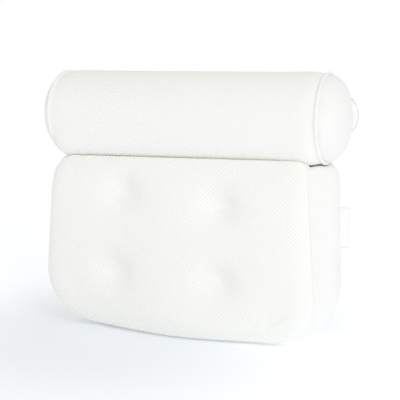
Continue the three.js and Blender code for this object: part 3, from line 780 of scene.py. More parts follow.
def rim_of(rows, columns):
    """Indices round the rim of a grid, from its lower right corner up, as an outline's runs go."""
    index = np.arange(rows * columns).reshape(rows, columns)
    return np.concatenate([index[:-1, -1], index[-1, :0:-1], index[:0:-1, 0], index[0, :-1]])


def front_loop(grow):
    runs = outline_runs(seam_corners(FRONT_SEAM), FRONT_CELLS, grow - EDGE_INSET)
    return np.concatenate([run[:-1] for run in runs])


flat = patch_grid(outline_runs(seam_corners(FRONT_SEAM), FRONT_CELLS, -EDGE_INSET))
rows, columns = flat.shape[:2]
rim = rim_of(rows, columns)
flat = flat.reshape(-1, 2)
tied = []
for tuft in TUFTS:
    nearest = np.linalg.norm(flat - tuft, axis=1).argmin()
    flat[nearest] = tuft
    tied.append(nearest)
y = front_y(*flat.T, PAD_CROWN - STUFFING_ROOM)
y[tied] = front_y(*flat[tied].T, PAD_CROWN)
points = [stood_up(flat, y)]
cut, free = [flat], [np.ones(len(flat))]
faces = grid_faces(rows, columns)
print("middle of the front:", rows, "by", columns, "points, tied at", flat[tied].tolist())

# %% Rolled edge of the front
turn = np.linspace(0, EDGE_TURN, RIM_POINTS)
oval = np.stack([EDGE_REACH * np.sin(turn), EDGE_DEPTH * (1 - np.cos(turn))], axis=1)
inner = rim
for step, (out, back) in enumerate(evenly(oval, EDGE_STEPS)[1:], start=1):
    ring = front_loop(out)
    drawn_in = dimples(*ring.T) * max(0, 1 - back / EDGE_DEPTH) ** 2
    points.append(stood_up(ring, EDGE_TOP_Y + back + drawn_in))
    cut.append(front_loop(length_of(oval) * step / EDGE_STEPS))
    free.append(np.full(len(ring), min(1, (EDGE_STEPS - step) / SEAM_FADE)))
    outer = len(flat) + len(ring) * (step - 1) + np.arange(len(ring))
    faces += np.stack([inner, outer, np.roll(outer, -1), np.roll(inner, -1)], axis=1).tolist()
    inner = outer
print("rolled edge:", EDGE_STEPS, "rings, sewn", length_of(oval), "m from where it begins")

# %% Pad front
pad_front = new_piece("pad_front_quilt", np.concatenate(points), faces, "air_mesh")
corner = np.zeros(len(pad_front.data.loops), np.int32)
pad_front.data.loops.foreach_get("vertex_index", corner)
uv = np.concatenate(cut)[corner].astype(np.float32)
pad_front.data.uv_layers.new(name="UVMap").data.foreach_set("uv", uv.ravel())
stuff(pad_front, [*inner, *tied], pressure=1.0, cap=4 * MM)
move_points(pad_front.data, leaned(points_of(pad_front.data)))
knit_relief(pad_front, np.concatenate(free))
line_inside(pad_front, lambda point: point + Vector((0, FRONT_RIM_DEPTH, 0)), bmesh.ops.edgeloop_fill)
dress(pad_front, "pad", "air_mesh", "pad_front_mesh")
print("front panel cut", np.ptp(np.concatenate(cut), axis=0))

# %% [markdown]
# ## Gusset of the pad
#
# A band of plain jersey joins the front seam to the rear one and bulges where the filling presses on it.
# Under the pad it lies flat on the ground, and along the top it gives way to the roll that rests on it. It
# is lofted between the two outlines with those two limits, and then stuffed like the front.

# %% Pad gusset
GUSSET_BULGE = {"side": 18 * MM, "bottom": 16 * MM, "top": 13 * MM}
GUSSET_COLUMNS = 150
SEAM_MEETS_CORD = 1.4 * MM  # a panel's edge reaches this far past its seam, to the piping's cord
GUSSET_ROWS = 13
RIM_GAP = 0.3 * MM  # between the front panel's rim and the gusset
BACK_ROOM = 3.3 * MM  # from the back panel's outer face in to the gusset's rear edge
GUSSET_FRONT_Y = FRONT_RIM_Y + FRONT_RIM_DEPTH + RIM_GAP
GUSSET_REAR_Y = PAD_BACK_Y - BACK_ROOM
KNIT_THICKNESS = 1.6 * MM
ROLL_SAG = 7.7 * MM  # the roll is fuller where it comes to rest on the pad's front edge
SAG_TILT = 0.8  # share of the tilt of the pad's top that the roll follows
SAG_MIDDLE = math.radians(230)  # where that is round it, from the back over the top
SAG_SPREAD = math.radians(40)
SAG_FADE = 40  # the higher, the nearer to its seams the roll sags
GROOVE_BEND = 8 * MM  # the roll's cords press soft grooves into the gusset
ROLL_CORD_X = middle_of("roll_piping_right")[0]
ROLL_TUCK = 3.6 * MM  # the sleeve meets its cord this much below its full radius


def roll_radius(x):
    """The roll's radius without its sag, drawn in to its end seams."""
    drawn = np.maximum(0, 1 - (ROLL_SEAM_X - np.abs(x)) / ROLL_SHOULDER) ** 3
    return ROLL_RADIUS - ROLL_DRAW * drawn


def sleeve_radius(x, angle):
    """The sleeve's radius, pushed out where it rests, at places along the roll and angles round it."""
    off = np.abs((angle - SAG_MIDDLE + math.pi) % math.tau - math.pi)
    sag = ROLL_SAG + SAG_TILT * TOP_TILT * to_left(x)
    sag = sag * np.cos(np.minimum(1, off / SAG_SPREAD) * math.pi / 2) ** 2
    inside = 1 - np.minimum(1, np.abs(x / ROLL_SEAM_X)) ** SAG_FADE
    return np.maximum(roll_radius(x), ROLL_RADIUS - ROLL_TUCK) + sag * inside


def roll_underside(x, y, gap):
    """Height of the roll's underside over points, or no limit beside the roll."""
    across = y - ROLL_Y
    down = -np.sqrt(np.maximum(ROLL_RADIUS ** 2 - across ** 2, 0))
    groove = (np.abs(x) - ROLL_CORD_X) ** 2 / GROOVE_BEND
    cord = ROLL_SEAM_RADIUS + PIPING_REACH - groove
    radius = np.maximum(sleeve_radius(x, np.arctan2(down, across)), cord)
    under = (radius + gap) ** 2 - across ** 2
    return np.where(under > 0, ROLL_Z - np.sqrt(np.maximum(under, 0)), np.inf)


def gusset_rings(shares, columns, inset, grow=0.0):
    """Rings round the pad from the front seam to the rear one, set in from the band's outer face."""
    near = outline_loop(seam_corners(FRONT_SEAM), columns, grow)
    far = outline_loop(seam_corners(REAR_SEAM), columns, grow)
    rings = []
    for share in shares:
        line = near + (far - near) * share
        normal = outward(line)
        upright = np.where(normal[:, 1] < 0, GUSSET_BULGE["bottom"], GUSSET_BULGE["top"])
        swell = GUSSET_BULGE["side"] * normal[:, 0] ** 2 + upright * normal[:, 1] ** 2
        y = GUSSET_FRONT_Y + (GUSSET_REAR_Y - GUSSET_FRONT_Y) * share
        out = swell * math.sin(math.pi * share) - inset
        ring = line + normal * out[:, None]
        ring[:, 1] = np.clip(ring[:, 1], inset, roll_underside(ring[:, 0], y, ROLL_REST) - inset)
        rings.append(stood_up(ring, y))
    return np.array(rings)


def keep_clear(mesh):
    """Keeps the gusset above the ground and below the roll."""
    points = points_of(mesh)
    points[:, 2] = np.clip(points[:, 2], 0, roll_underside(*points.T[:2], ROLL_REST))
    move_points(mesh, points)


# %% Gusset band
shares = np.linspace(0, 1, GUSSET_ROWS)
room = STUFFING_ROOM * np.sin(math.pi * shares)
band = np.concatenate([gusset_rings([share], GUSSET_COLUMNS, inset, SEAM_MEETS_CORD)
                       for share, inset in zip(shares, room)])
steps = np.linalg.norm(np.roll(band[0], -1, axis=0) - band[0], axis=1)
around = np.concatenate([[0], np.cumsum(steps)])
uv = np.stack(np.meshgrid(around, shares * (GUSSET_REAR_Y - GUSSET_FRONT_Y)), axis=2)
gusset = grid_piece("pad_gusset_band", band, "cover_knit", uv, closed=True, flip=True)
sewn = [*range(GUSSET_COLUMNS), *range(GUSSET_COLUMNS * (GUSSET_ROWS - 1), GUSSET_COLUMNS * GUSSET_ROWS)]
stuff(gusset, sewn, pressure=1.0, cap=3 * MM, fullness=0.005)
move_points(gusset.data, leaned(points_of(gusset.data)))
keep_clear(gusset.data)
subdivide(gusset, 2)
settle(gusset)
keep_clear(gusset.data)
give_thickness(gusset, KNIT_THICKNESS)
settle(gusset)
dress(gusset, "pad", "cover_knit", "pad_gusset")

# %% [markdown]
# ## Back of the pad
#
# The back is a woven panel that lies almost flat, because four cups and the hinge hold it down. It puffs out
# a little between them. It is stuffed like the front, given its thickness, and then each eyelet is cut
# through it with a Boolean.

# %% Eyelets
BACK_CELLS = (28, 46, 28, 46)
BACK_THICKNESS = 2.4 * MM
PATCH_SIDE = 40 * MM
PATCH_CORNER = 6 * MM
EYELET_RADIUS = 4.5 * MM
EYELET_SIDES = 40
WEB_HALF_LENGTH = 130 * MM
WEB_LOW_Z = 183 * MM
PATCH_HOLD = 3 * MM  # the cloth is held flat this far round a patch
WEB_HOLD = 4 * MM  # and this far round the hinge
DRILL_REACH = 10 * MM
PAD_CUPS = [f"{row}_{side}" for row in ("low", "high") for side in SIDES]


def seat_of(cup):
    """Where a cup's axis passes the fabric, and the direction it points in."""
    joint = joints[f"cup_{cup}_turn"]
    return np.array(joint["pos_m"]), np.array(joint["axis"])


def on_axis(seat, across, up, along):
    """A point at a seat: across and up on the fabric, and along the cup's axis."""
    place, axis = seat
    sideways = np.cross(axis, (0, 0, 1))
    sideways = sideways / np.linalg.norm(sideways)
    shares = zip((across, up, along), (sideways, np.cross(sideways, axis), axis))
    return place + sum(np.multiply.outer(share, direction) for share, direction in shares)


def loft_piece(name, rings, slot):
    """A closed skin over closed rings. The last ring joins the first, and a ring of no width is a point."""
    rows, columns = rings.shape[:2]
    total = rows * columns
    faces = [tuple(i % total for i in face) for face in grid_faces(rows + 1, columns, closed=True)]
    piece = new_piece(name, rings, faces, slot)

    def merge(mesh):
        bmesh.ops.remove_doubles(mesh, verts=mesh.verts, dist=1e-6)
        loose = [edge for edge in mesh.edges if not edge.link_faces]
        bmesh.ops.delete(mesh, geom=loose, context="EDGES")

    edit_mesh(piece, merge)
    return piece


def lathe_rings(seat, profile, sides):
    """Rings of a profile of (radius, height) turned about a seat's axis."""
    angle = once_round(sides)
    return np.array([on_axis(seat, r * np.cos(angle), r * np.sin(angle), np.full(sides, h))
                     for r, h in profile])


def cut_eyelet(piece, seat, reach):
    profile = [(0, -reach), (EYELET_RADIUS, -reach), (EYELET_RADIUS, reach), (0, reach)]
    drill = loft_piece("drill", lathe_rings(seat, profile, EYELET_SIDES), "backing")
    modifier = piece.modifiers.new("eyelet", "BOOLEAN")
    modifier.object = drill
    settle(piece)
    bpy.data.objects.remove(drill)


# %% Pad back
flat = patch_grid(outline_runs(seam_corners(REAR_SEAM), BACK_CELLS, SEAM_MEETS_CORD))
x, z = flat[..., 0], flat[..., 1]
held = np.zeros(x.shape, bool)
held.ravel()[rim_of(*x.shape)] = True
for cup in PAD_CUPS:
    place, axis = seat_of(cup)
    held |= np.maximum(np.abs(x - place[0]), np.abs(z - place[2])) < PATCH_SIDE / 2 + PATCH_HOLD
held |= (np.abs(x) < WEB_HALF_LENGTH + WEB_HOLD) & (z > WEB_LOW_Z - WEB_HOLD)
pad_back = grid_piece("pad_back_cloth", stood_up(flat, PAD_BACK_Y), "backing", flat, flip=True)
stuff(pad_back, np.flatnonzero(held), pressure=1.5, cap=3 * MM, fullness=0.004)
subdivide(pad_back, 1)
give_thickness(pad_back, BACK_THICKNESS)
settle(pad_back)
for cup in PAD_CUPS:
    cut_eyelet(pad_back, seat_of(cup), DRILL_REACH)
dress(pad_back, "pad", "backing", "pad_back_panel")

# %% [markdown]
# ## Piping
#
# Each seam holds a cord in a strip of bias cloth. A circle swept along the seam's loop makes it, so it is a
# Geometry Nodes tree: the loop becomes a curve, a profile follows it, and a slight noise along the normals
# gives the pucker of cloth that is pulled round a corner. The same tree, with a fine profile, draws the ties.

# %% Piping tree
PIPING_SIDES = 12
PUCKER = 0.35 * MM
PUCKER_LENGTH = 7 * MM


def sweep_tree():
    tree, given = new_tree("round cord along a path", {
        "Radius": "NodeSocketFloat", "Sides": "NodeSocketInt", "Pucker": "NodeSocketFloat",
        "Pucker length": "NodeSocketFloat", "Finish": "NodeSocketMaterial"})
    path = add(tree, "GeometryNodeMeshToCurve", {"Mesh": given["Geometry"]})
    circle = add(tree, "GeometryNodeCurvePrimitiveCircle",
                 {"Resolution": given["Sides"], "Radius": given["Radius"]})
    swept = add(tree, "GeometryNodeCurveToMesh", {
        "Curve": path.outputs[0], "Profile Curve": circle.outputs[0], "Fill Caps": True})
    scale = add(tree, "ShaderNodeMath", {0: 1.0, 1: given["Pucker length"]}, operation="DIVIDE")
    noise = add(tree, "ShaderNodeTexNoise", {"Scale": scale.outputs[0], "Detail": 2.0})
    around_zero = add(tree, "ShaderNodeMath", {0: noise.outputs[0], 1: 0.5}, operation="SUBTRACT")
    height = add(tree, "ShaderNodeMath", {0: around_zero.outputs[0], 1: given["Pucker"]},
                 operation="MULTIPLY")
    end_tree(tree, push_out(tree, swept.outputs[0], height.outputs[0]), given["Finish"])
    return tree


SWEEP = sweep_tree()
print("cord tree:", len(SWEEP.nodes), "nodes")


def path_piece(name, lines, slot):
    """Lines of points, each with whether it is closed, as a piece of edges for a tree to work on."""
    points = np.concatenate([line for line, closed in lines])
    edges = []
    first = 0
    for line, closed in lines:
        ids = list(range(first, first + len(line)))
        edges += list(zip(ids, ids[1:])) + ([(ids[-1], ids[0])] if closed else [])
        first += len(line)
    return new_piece(name, points, [], slot, edges)


def sweep(name, lines, slot, radius, sides, pucker=0.0):
    piece = path_piece(name, lines, slot)
    run_tree(piece, SWEEP, {"Radius": radius, "Sides": sides, "Pucker": pucker,
                            "Pucker length": PUCKER_LENGTH, "Finish": FINISHES[slot]})
    settle(piece)
    edit_mesh(piece)
    return piece


# %% Pad and roll piping
PIPING_STANDOFF = PIPING_FLANGE + PIPING_RADIUS
PIPING_STEPS = 420


def pad_piping(name, seam, node):
    loop = outline_loop(seam_corners(seam), PIPING_STEPS, PIPING_STANDOFF)
    path = leaned(stood_up(loop, seam["y"]))
    piece = sweep(name, [(path, True)], "piping", PIPING_RADIUS, PIPING_SIDES, PUCKER)
    dress(piece, "pad", "piping", node)


pad_piping("pad_front_cord", FRONT_SEAM, "pad_front_piping")
pad_piping("pad_rear_cord", REAR_SEAM, "pad_back_piping")
for side in SIDES:
    x = middle_of(f"roll_piping_{side}")[0]
    path = about_roll(x, ROLL_SEAM_RADIUS + PIPING_STANDOFF, once_round(PIPING_STEPS))
    piece = sweep(f"roll_cord_{side}", [(path, True)], "piping", PIPING_RADIUS, PIPING_SIDES, PUCKER)
    dress(piece, "roll", "piping", f"roll_piping_{side}")

# %% [markdown]
# ## Sleeve of the roll
#
# The sleeve is a tube of spacer mesh, drawn in at its end seams and fuller where it rests on the pad. The
# number of pits round it is whole, so the lattice closes on itself, and every pit falls on a point of the
# subdivided grid. It is stuffed, pitted, and then lined inside, because a closed wall is what the frame and a
# printer both understand.

# %% Roll sleeve
ROLL_CELLS = 36
SLEEVE_WALL = 4 * MM
PITS_PER_CELL = 2


def to_roll_axis(point):
    """A point of the sleeve moved in through its wall."""
    inward = Vector((0, ROLL_Y - point.y, ROLL_Z - point.z)).normalized()
    return point + inward * SLEEVE_WALL


x = np.linspace(-ROLL_SEAM_X, ROLL_SEAM_X, ROLL_CELLS + 1)
angle = once_round(ROLL_CELLS)
room = STUFFING_ROOM * (1 - np.abs(x / ROLL_SEAM_X) ** 6)
radius = sleeve_radius(x[:, None], angle[None]) - room[:, None]
tube = about_roll(x[:, None], radius, angle[None])
cells = np.arange(ROLL_CELLS + 1) * PITS_PER_CELL * MESH_PITCH
uv = np.stack(np.meshgrid(cells, cells), axis=2)
sleeve = grid_piece("roll_sleeve_mesh", tube, "air_mesh", uv, closed=True)
sewn = [*range(ROLL_CELLS), *range(ROLL_CELLS ** 2, ROLL_CELLS * (ROLL_CELLS + 1))]
stuff(sleeve, sewn, pressure=1.0, cap=STUFFING_ROOM + 0.4 * MM)
free = np.clip((ROLL_SEAM_X - np.abs(tube[..., 0])) / ROLL_SHOULDER, 0, 1)
knit_relief(sleeve, free.ravel())
line_inside(sleeve, to_roll_axis, bmesh.ops.bridge_loops)
dress(sleeve, "roll", "air_mesh", "roll_sleeve")

# %% [markdown]
# ## Ends of the roll
#
# A round piece of jersey closes each end and is pushed out by the filling to a blunt dome. It is a round
# patch of squares, bent to the dome, so that its middle has no pole, and stuffed like the rest.

# %% Roll ends
END_CELLS = (16, 16, 16, 16)
DOME_FULLNESS = 2.2
DOME_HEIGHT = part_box("roll_end_right")[1].x - ROLL_SEAM_X
DOME_SHARE = {"left": 0.75, "right": 1.0}  # the left end is less full

disc = patch_grid(outline_runs(round_corners(1.0), END_CELLS))
share = np.minimum(1, np.linalg.norm(disc, axis=2, keepdims=True))
lean = share * math.pi / 2
spread = np.sin(lean) ** (2 / DOME_FULLNESS) / np.maximum(share, 1e-9)
across = disc * spread * (ROLL_SEAM_RADIUS + SEAM_MEETS_CORD)
rise = np.maximum(0, np.cos(lean[..., 0])) ** (2 / DOME_FULLNESS) * (DOME_HEIGHT - STUFFING_ROOM)
for side, sign in (("left", -1), ("right", 1)):
    out = sign * (ROLL_SEAM_X + rise * DOME_SHARE[side])
    dome = np.stack([out, ROLL_Y + across[..., 0], ROLL_Z + across[..., 1]], axis=2)
    cap = grid_piece(f"roll_dome_{side}", dome, "cover_knit", across, flip=sign < 0)
    stuff(cap, rim_of(*dome.shape[:2]), pressure=2.0, cap=STUFFING_ROOM, fullness=0.02)
    subdivide(cap, 2)
    give_thickness(cap, KNIT_THICKNESS)
    settle(cap)
    dress(cap, "roll", "cover_knit", f"roll_end_{side}")

# %% [markdown]
# ## Suction cups
#
# A cup is one moulding: a head inside the cover, a neck through the eyelet, a collar on the patch and a thin
# bell. It is a lathe shape about the axis of its joint, so it can turn there without changing its look. The
# corners of its profile are rounded, because a clear edge shows only as well as it catches light.

# %% Cups
CUP_SIDES = 72
CUP_RADIUS = 25 * MM
CUP_LIP = 2.6 * MM
CUP_WALL = 2.4 * MM
CUP_EDGE = 0.7 * MM
COLLAR_RADIUS = 7.5 * MM
COLLAR_FROM = 2.1 * MM
COLLAR_TO = 4.7 * MM
LIP_AT = 16.1 * MM
NECK_RADIUS = 4 * MM
HEAD_RADIUS = 7.2 * MM
HEAD_HEIGHT = 3 * MM
HEAD_BEVEL = 2 * MM
BELL_STEPS = 14
BELL_CURVE = 0.6  # below 1, the bell opens fast at its collar and runs steep to its lip
HOLLOW_CURVE = 0.49
PAD_NECK = 5.1 * MM  # from the fabric's outer face in to the cup's head
ROLL_NECK = 8.6 * MM


def rounded(line, radius, steps=4):
    """A line of points with its corners rounded."""
    line = np.asarray(line, float)
    points = [line[0]]
    for before, corner, after in zip(line, line[1:], line[2:]):
        back, ahead = before - corner, after - corner
        reach = min(radius, 0.45 * np.linalg.norm(back), 0.45 * np.linalg.norm(ahead))
        start = corner + back / np.linalg.norm(back) * reach
        end = corner + ahead / np.linalg.norm(ahead) * reach
        for t in np.linspace(0, 1, steps):
            points.append((1 - t) ** 2 * start + 2 * t * (1 - t) * corner + t ** 2 * end)
    return np.array(points + [line[-1]])


def cup_profile(neck):
    t = np.linspace(0, 1, BELL_STEPS)
    hollow = CUP_RADIUS - CUP_LIP
    roof = COLLAR_TO + CUP_WALL
    outside = np.stack([COLLAR_RADIUS + (CUP_RADIUS - COLLAR_RADIUS) * t ** BELL_CURVE,
                        COLLAR_TO + (LIP_AT - COLLAR_TO) * t], axis=1)[1:]
    inside = np.stack([hollow * t ** HOLLOW_CURVE, roof + (LIP_AT - roof) * t], axis=1)[::-1]
    stem = [(0, -neck - HEAD_HEIGHT), (HEAD_RADIUS - HEAD_BEVEL, -neck - HEAD_HEIGHT),
            (HEAD_RADIUS, -neck - HEAD_HEIGHT + HEAD_BEVEL), (HEAD_RADIUS, -neck), (NECK_RADIUS, -neck),
            (NECK_RADIUS, COLLAR_FROM), (COLLAR_RADIUS, COLLAR_FROM), (COLLAR_RADIUS, COLLAR_TO)]
    return rounded(np.concatenate([stem, outside, inside]), CUP_EDGE)


def cup_piece(cup, neck, node):
    rings = lathe_rings(seat_of(cup), cup_profile(neck), CUP_SIDES)
    piece = loft_piece(node.replace("_cup", "_suction_cup"), rings, "clear_pvc")
    dress(piece, f"cup_{cup}", "clear_pvc", node)


for cup in PAD_CUPS:
    cup_piece(cup, PAD_NECK, f"pad_cup_{cup}")
for side in SIDES:
    cup_piece(f"roll_{side}", ROLL_NECK, f"roll_cup_{side}")

# %% [markdown]
# ## Eyelet patches
#
# A square of backing is sewn round each eyelet to spread the pull of its cup. A pad patch is flat. A roll
# patch follows the sleeve, so its points are laid on the sleeve's own profile. Each is a rounded square with
# a round hole, lofted as a closed ring.

# %% Patches
PATCH_FROM = 0.3 * MM
PATCH_TO = 1.8 * MM
PATCH_EDGE = 0.5 * MM
PATCH_SIDES = 96
ROLL_PATCH_SIDE = 24 * MM
ROLL_PATCH_CORNER = 5 * MM
PATCH_SPREAD = (0.06, 0.94)  # from the hole to the edge, where the faces' loops lie
PATCH_LOOPS = 6


def patch_rings(outer):
    """Loops of a patch's closed cross-section, each with its height: hole, face, edge and underside."""
    angle = np.arctan2(outer[:, 1], outer[:, 0])
    hole = EYELET_RADIUS * np.stack([np.cos(angle), np.sin(angle)], axis=1)
    inset = outer * (1 - PATCH_EDGE / np.linalg.norm(outer, axis=1, keepdims=True))
    loops = [(hole, PATCH_FROM), (hole, PATCH_TO - PATCH_EDGE)]
    loops += [(hole + (inset - hole) * t, PATCH_TO) for t in np.linspace(PATCH_SPREAD[0], 1, PATCH_LOOPS)]
    loops += [(outer, PATCH_TO - PATCH_EDGE), (outer, PATCH_FROM)]
    return loops + [(hole + (inset - hole) * t, PATCH_FROM)
                    for t in np.linspace(*PATCH_SPREAD[::-1], PATCH_LOOPS)]


def on_sleeve(x, up, out):
    """A point out from the back of the sleeve, at a place along the roll and a distance up round it."""
    return about_roll(x, roll_radius(x) + out, up / ROLL_RADIUS)


for cup in PAD_CUPS:
    loop = outline_loop(square_corners(PATCH_SIDE, PATCH_CORNER), PATCH_SIDES)
    rings = np.array([on_axis(seat_of(cup), flat[:, 0], flat[:, 1], np.full(PATCH_SIDES, height))
                      for flat, height in patch_rings(loop)])
    patch = loft_piece(f"pad_eyelet_patch_{cup}", rings, "backing")
    dress(patch, "pad", "backing", f"pad_patch_{cup}")

for side in SIDES:
    hole_x = seat_of(f"roll_{side}")[0][0]
    loop = outline_loop(square_corners(ROLL_PATCH_SIDE, ROLL_PATCH_CORNER), PATCH_SIDES)
    loop[:, 0] += middle_of(f"roll_patch_{side}")[0] - hole_x
    rings = np.array([on_sleeve(hole_x + flat[:, 0], flat[:, 1], height)
                      for flat, height in patch_rings(loop)])
    patch = loft_piece(f"roll_eyelet_patch_{side}", rings, "backing")
    dress(patch, "roll", "backing", f"roll_patch_{side}")

# %% [markdown]
# ## Fabric hinge
#
# A strip of backing joins the roll to the top of the pad's back. It is sewn to the pad below and to the roll
# above, and the short free span between them bends when the roll folds back. It is one sheet on a smooth
# line, given its thickness.

# %% Hinge web
WEB_THICKNESS = 1.6 * MM
WEB_SEWN = 14 * MM  # height of the strip that is sewn to the pad
WEB_GAP = 0.3 * MM
WEB_FACE = WEB_GAP + WEB_THICKNESS / 2  # from a cover to the middle of the strip
WEB_ON_ROLL = np.radians([42, 49, 56])  # places on the roll, from straight down to the back

on_pad = [(PAD_BACK_Y + WEB_FACE, WEB_LOW_Z), (PAD_BACK_Y + WEB_FACE, WEB_LOW_Z + WEB_SEWN)]
on_roll = (ROLL_Y, ROLL_Z) + (ROLL_RADIUS + WEB_FACE) * np.stack(
    [np.sin(WEB_ON_ROLL), -np.cos(WEB_ON_ROLL)], axis=1)
WEB_LINE = np.concatenate([on_pad, on_roll])
WEB_CELLS = (26, 52)
WEB_TURN = 4 * MM
BEND_STEPS = 6

line = evenly(rounded(WEB_LINE, WEB_TURN, BEND_STEPS), WEB_CELLS[0])
x = np.linspace(-WEB_HALF_LENGTH, WEB_HALF_LENGTH, WEB_CELLS[1] + 1)
strip = np.stack(np.broadcast_arrays(x[None], line[:, :1], line[:, 1:]), axis=2)
web = grid_piece("hinge_strip", strip, "backing", strip[..., [0, 2]], flip=True)
give_thickness(web, WEB_THICKNESS)
web.modifiers["thickness"].offset = 0
settle(web)
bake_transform(web)
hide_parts("hinge_web")

# %% [markdown]
# ## Side tag
#
# A short piece of satin tape is folded once and its ends are caught in the rear seam at the right. It is a
# sheet that follows a flat loop, with a slight wave along its height, so that it does not look like a plate.

# %% Tag
TAG_GAP = 0.4 * MM
TAG_TAPE = 0.35 * MM
TAG_CELLS = (24, 20)
TAG_WAVE = 0.35 * MM
TAG_WAVES = 0.8  # waves along the tag's height
TAG_SHORT = 1.6 * MM  # the fold ends this much short of the frame's tag

tag_low, tag_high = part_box("side_tag")
tag_y = middle_of("side_tag")[1]
root = tag_low.x - PIPING_RADIUS
tip = tag_high.x - TAG_TAPE - TAG_SHORT
back, front = tag_y + TAG_GAP, tag_y - TAG_GAP
fold = rounded([(root, back), (tip, back), (tip, front), (root, front)], TAG_GAP, BEND_STEPS)
fold = evenly(fold, TAG_CELLS[0])
height = np.linspace(tag_low.z, tag_high.z, TAG_CELLS[1] + 1)
share = (fold[:, 0] - root) / (tip - root)
wave = TAG_WAVE * np.sin((height - tag_low.z) / (tag_high.z - tag_low.z) * TAG_WAVES * math.tau)
tape = np.stack(np.broadcast_arrays(fold[:, :1], fold[:, 1:] + share[:, None] * wave, height[None]), axis=2)
tag = grid_piece("side_tag_tape", tape, "tag_satin", tape[..., [0, 2]], flip=True)
give_thickness(tag, TAG_TAPE)
settle(tag)
dress(tag, "pad", "tag_satin", "side_tag")

# %% [markdown]
# ## Tuft ties
#
# In each dimple a doubled thread comes out, crosses a few millimetres of mesh and goes back to the eyelet
# washer behind, and its pull makes the dimple. It is swept along its path like the piping.

# %% Ties
THREAD_RADIUS = 0.6 * MM
THREAD_SIDES = 8
TIE_HALF_WIDTH = 3 * MM
TIE_LIFT = -0.2 * MM  # below 0 the thread is sunk in the mesh
SEW_HOLE_X = 10.8 * MM
TIE_CORNER = 1.2 * MM

for cup, (tuft_x, tuft_z) in zip(PAD_CUPS, TUFTS):
    place, axis = seat_of(cup)
    front = float(front_y(np.array(tuft_x), np.array(tuft_z), PAD_CROWN)) - TIE_LIFT
    path = [(place[0] - SEW_HOLE_X, GUSSET_REAR_Y, place[2]), (tuft_x - TIE_HALF_WIDTH, front, tuft_z),
            (tuft_x + TIE_HALF_WIDTH, front, tuft_z), (place[0] + SEW_HOLE_X, GUSSET_REAR_Y, place[2])]
    path = leaned(rounded(path, TIE_CORNER, BEND_STEPS))
    tie = sweep(f"tuft_thread_{cup}", [(path, False)], "thread", THREAD_RADIUS, THREAD_SIDES)
    dress(tie, "pad", "thread", f"tuft_tie_{cup}")

# %% [markdown]
# ## Stitches
#
# Patches, hinge and tag are sewn on with lockstitch, a row of short threads with their ends in the cloth.
# A stitch is one small capsule, and a Geometry Nodes tree sets it along every row at the machine's stitch
# length, turned along the row. The trees' result is one mesh for each body.

# %% Stitch tree
STITCH_PITCH = 3.2 * MM
STITCH_LENGTH = 2.6 * MM
STITCH_RADIUS = 0.35 * MM


def stitch_tree():
    tree, given = new_tree("row of lockstitches", {
        "Pitch": "NodeSocketFloat", "Length": "NodeSocketFloat", "Radius": "NodeSocketFloat",
        "Finish": "NodeSocketMaterial"})
    row = add(tree, "GeometryNodeMeshToCurve", {"Mesh": given["Geometry"]})
    points = add(tree, "GeometryNodeCurveToPoints", {"Curve": row.outputs[0], "Length": given["Pitch"]},
                 mode="LENGTH")
    turn = add(tree, "FunctionNodeAlignRotationToVector", {"Vector": points.outputs["Tangent"]}, axis="X")
    ball = add(tree, "GeometryNodeMeshUVSphere", {"Segments": 6, "Rings": 4, "Radius": 1.0})
    half = add(tree, "ShaderNodeMath", {0: given["Length"], 1: 0.5}, operation="MULTIPLY")
    size = add(tree, "ShaderNodeCombineXYZ",
               {"X": half.outputs[0], "Y": given["Radius"], "Z": given["Radius"]})
    thread = add(tree, "GeometryNodeInstanceOnPoints", {
        "Points": points.outputs["Points"], "Instance": ball.outputs["Mesh"], "Rotation": turn.outputs[0],
        "Scale": size.outputs[0]})
    end_tree(tree, thread.outputs[0], given["Finish"])
    return tree


STITCHES = stitch_tree()
print("stitch tree:", len(STITCHES.nodes), "nodes")


def stitch(name, lines, body):
    piece = path_piece(name, lines, "thread")
    run_tree(piece, STITCHES, {"Pitch": STITCH_PITCH, "Length": STITCH_LENGTH, "Radius": STITCH_RADIUS,
                               "Finish": FINISHES["thread"]})
    settle(piece)
    return dress(piece, body, "thread")


# %% Stitch rows
PATCH_ROW = 3 * MM  # a row of stitches runs this far inside the edge
WEB_ROWS = (3 * MM, 11 * MM)
ROW_POINTS = {"pad": 80, "roll": 60}

pad_rows = []
row = outline_loop(square_corners(PATCH_SIDE - 2 * PATCH_ROW, PATCH_CORNER - PATCH_ROW), ROW_POINTS["pad"])
for cup in PAD_CUPS:
    pad_rows.append((on_axis(seat_of(cup), row[:, 0], row[:, 1], np.full(len(row), PATCH_TO)), True))
web_face = WEB_LINE[0][0] + WEB_THICKNESS / 2
for up in WEB_ROWS:
    ends = [(side * (WEB_HALF_LENGTH - PATCH_ROW), web_face, WEB_LOW_Z + up) for side in (-1, 1)]
    pad_rows.append((evenly(np.array(ends), ROW_POINTS["pad"]), False))
stitch("pad_stitches", pad_rows, "pad")

roll_rows = []
corners = square_corners(ROLL_PATCH_SIDE - 2 * PATCH_ROW, ROLL_PATCH_CORNER - PATCH_ROW)
row = outline_loop(corners, ROW_POINTS["roll"])
for side in SIDES:
    middle = middle_of(f"roll_patch_{side}")[0]
    roll_rows.append((on_sleeve(middle + row[:, 0], row[:, 1], PATCH_TO), True))
stitch("roll_stitches", roll_rows, "roll")

# %% [markdown]
# ## Fibre filling and washers
#
# Inside are two bodies of loose fibre, plain rounded forms a little smaller than their covers. The eyelet
# washers are rigid and already right in the frame, so they only get their moulded finish.

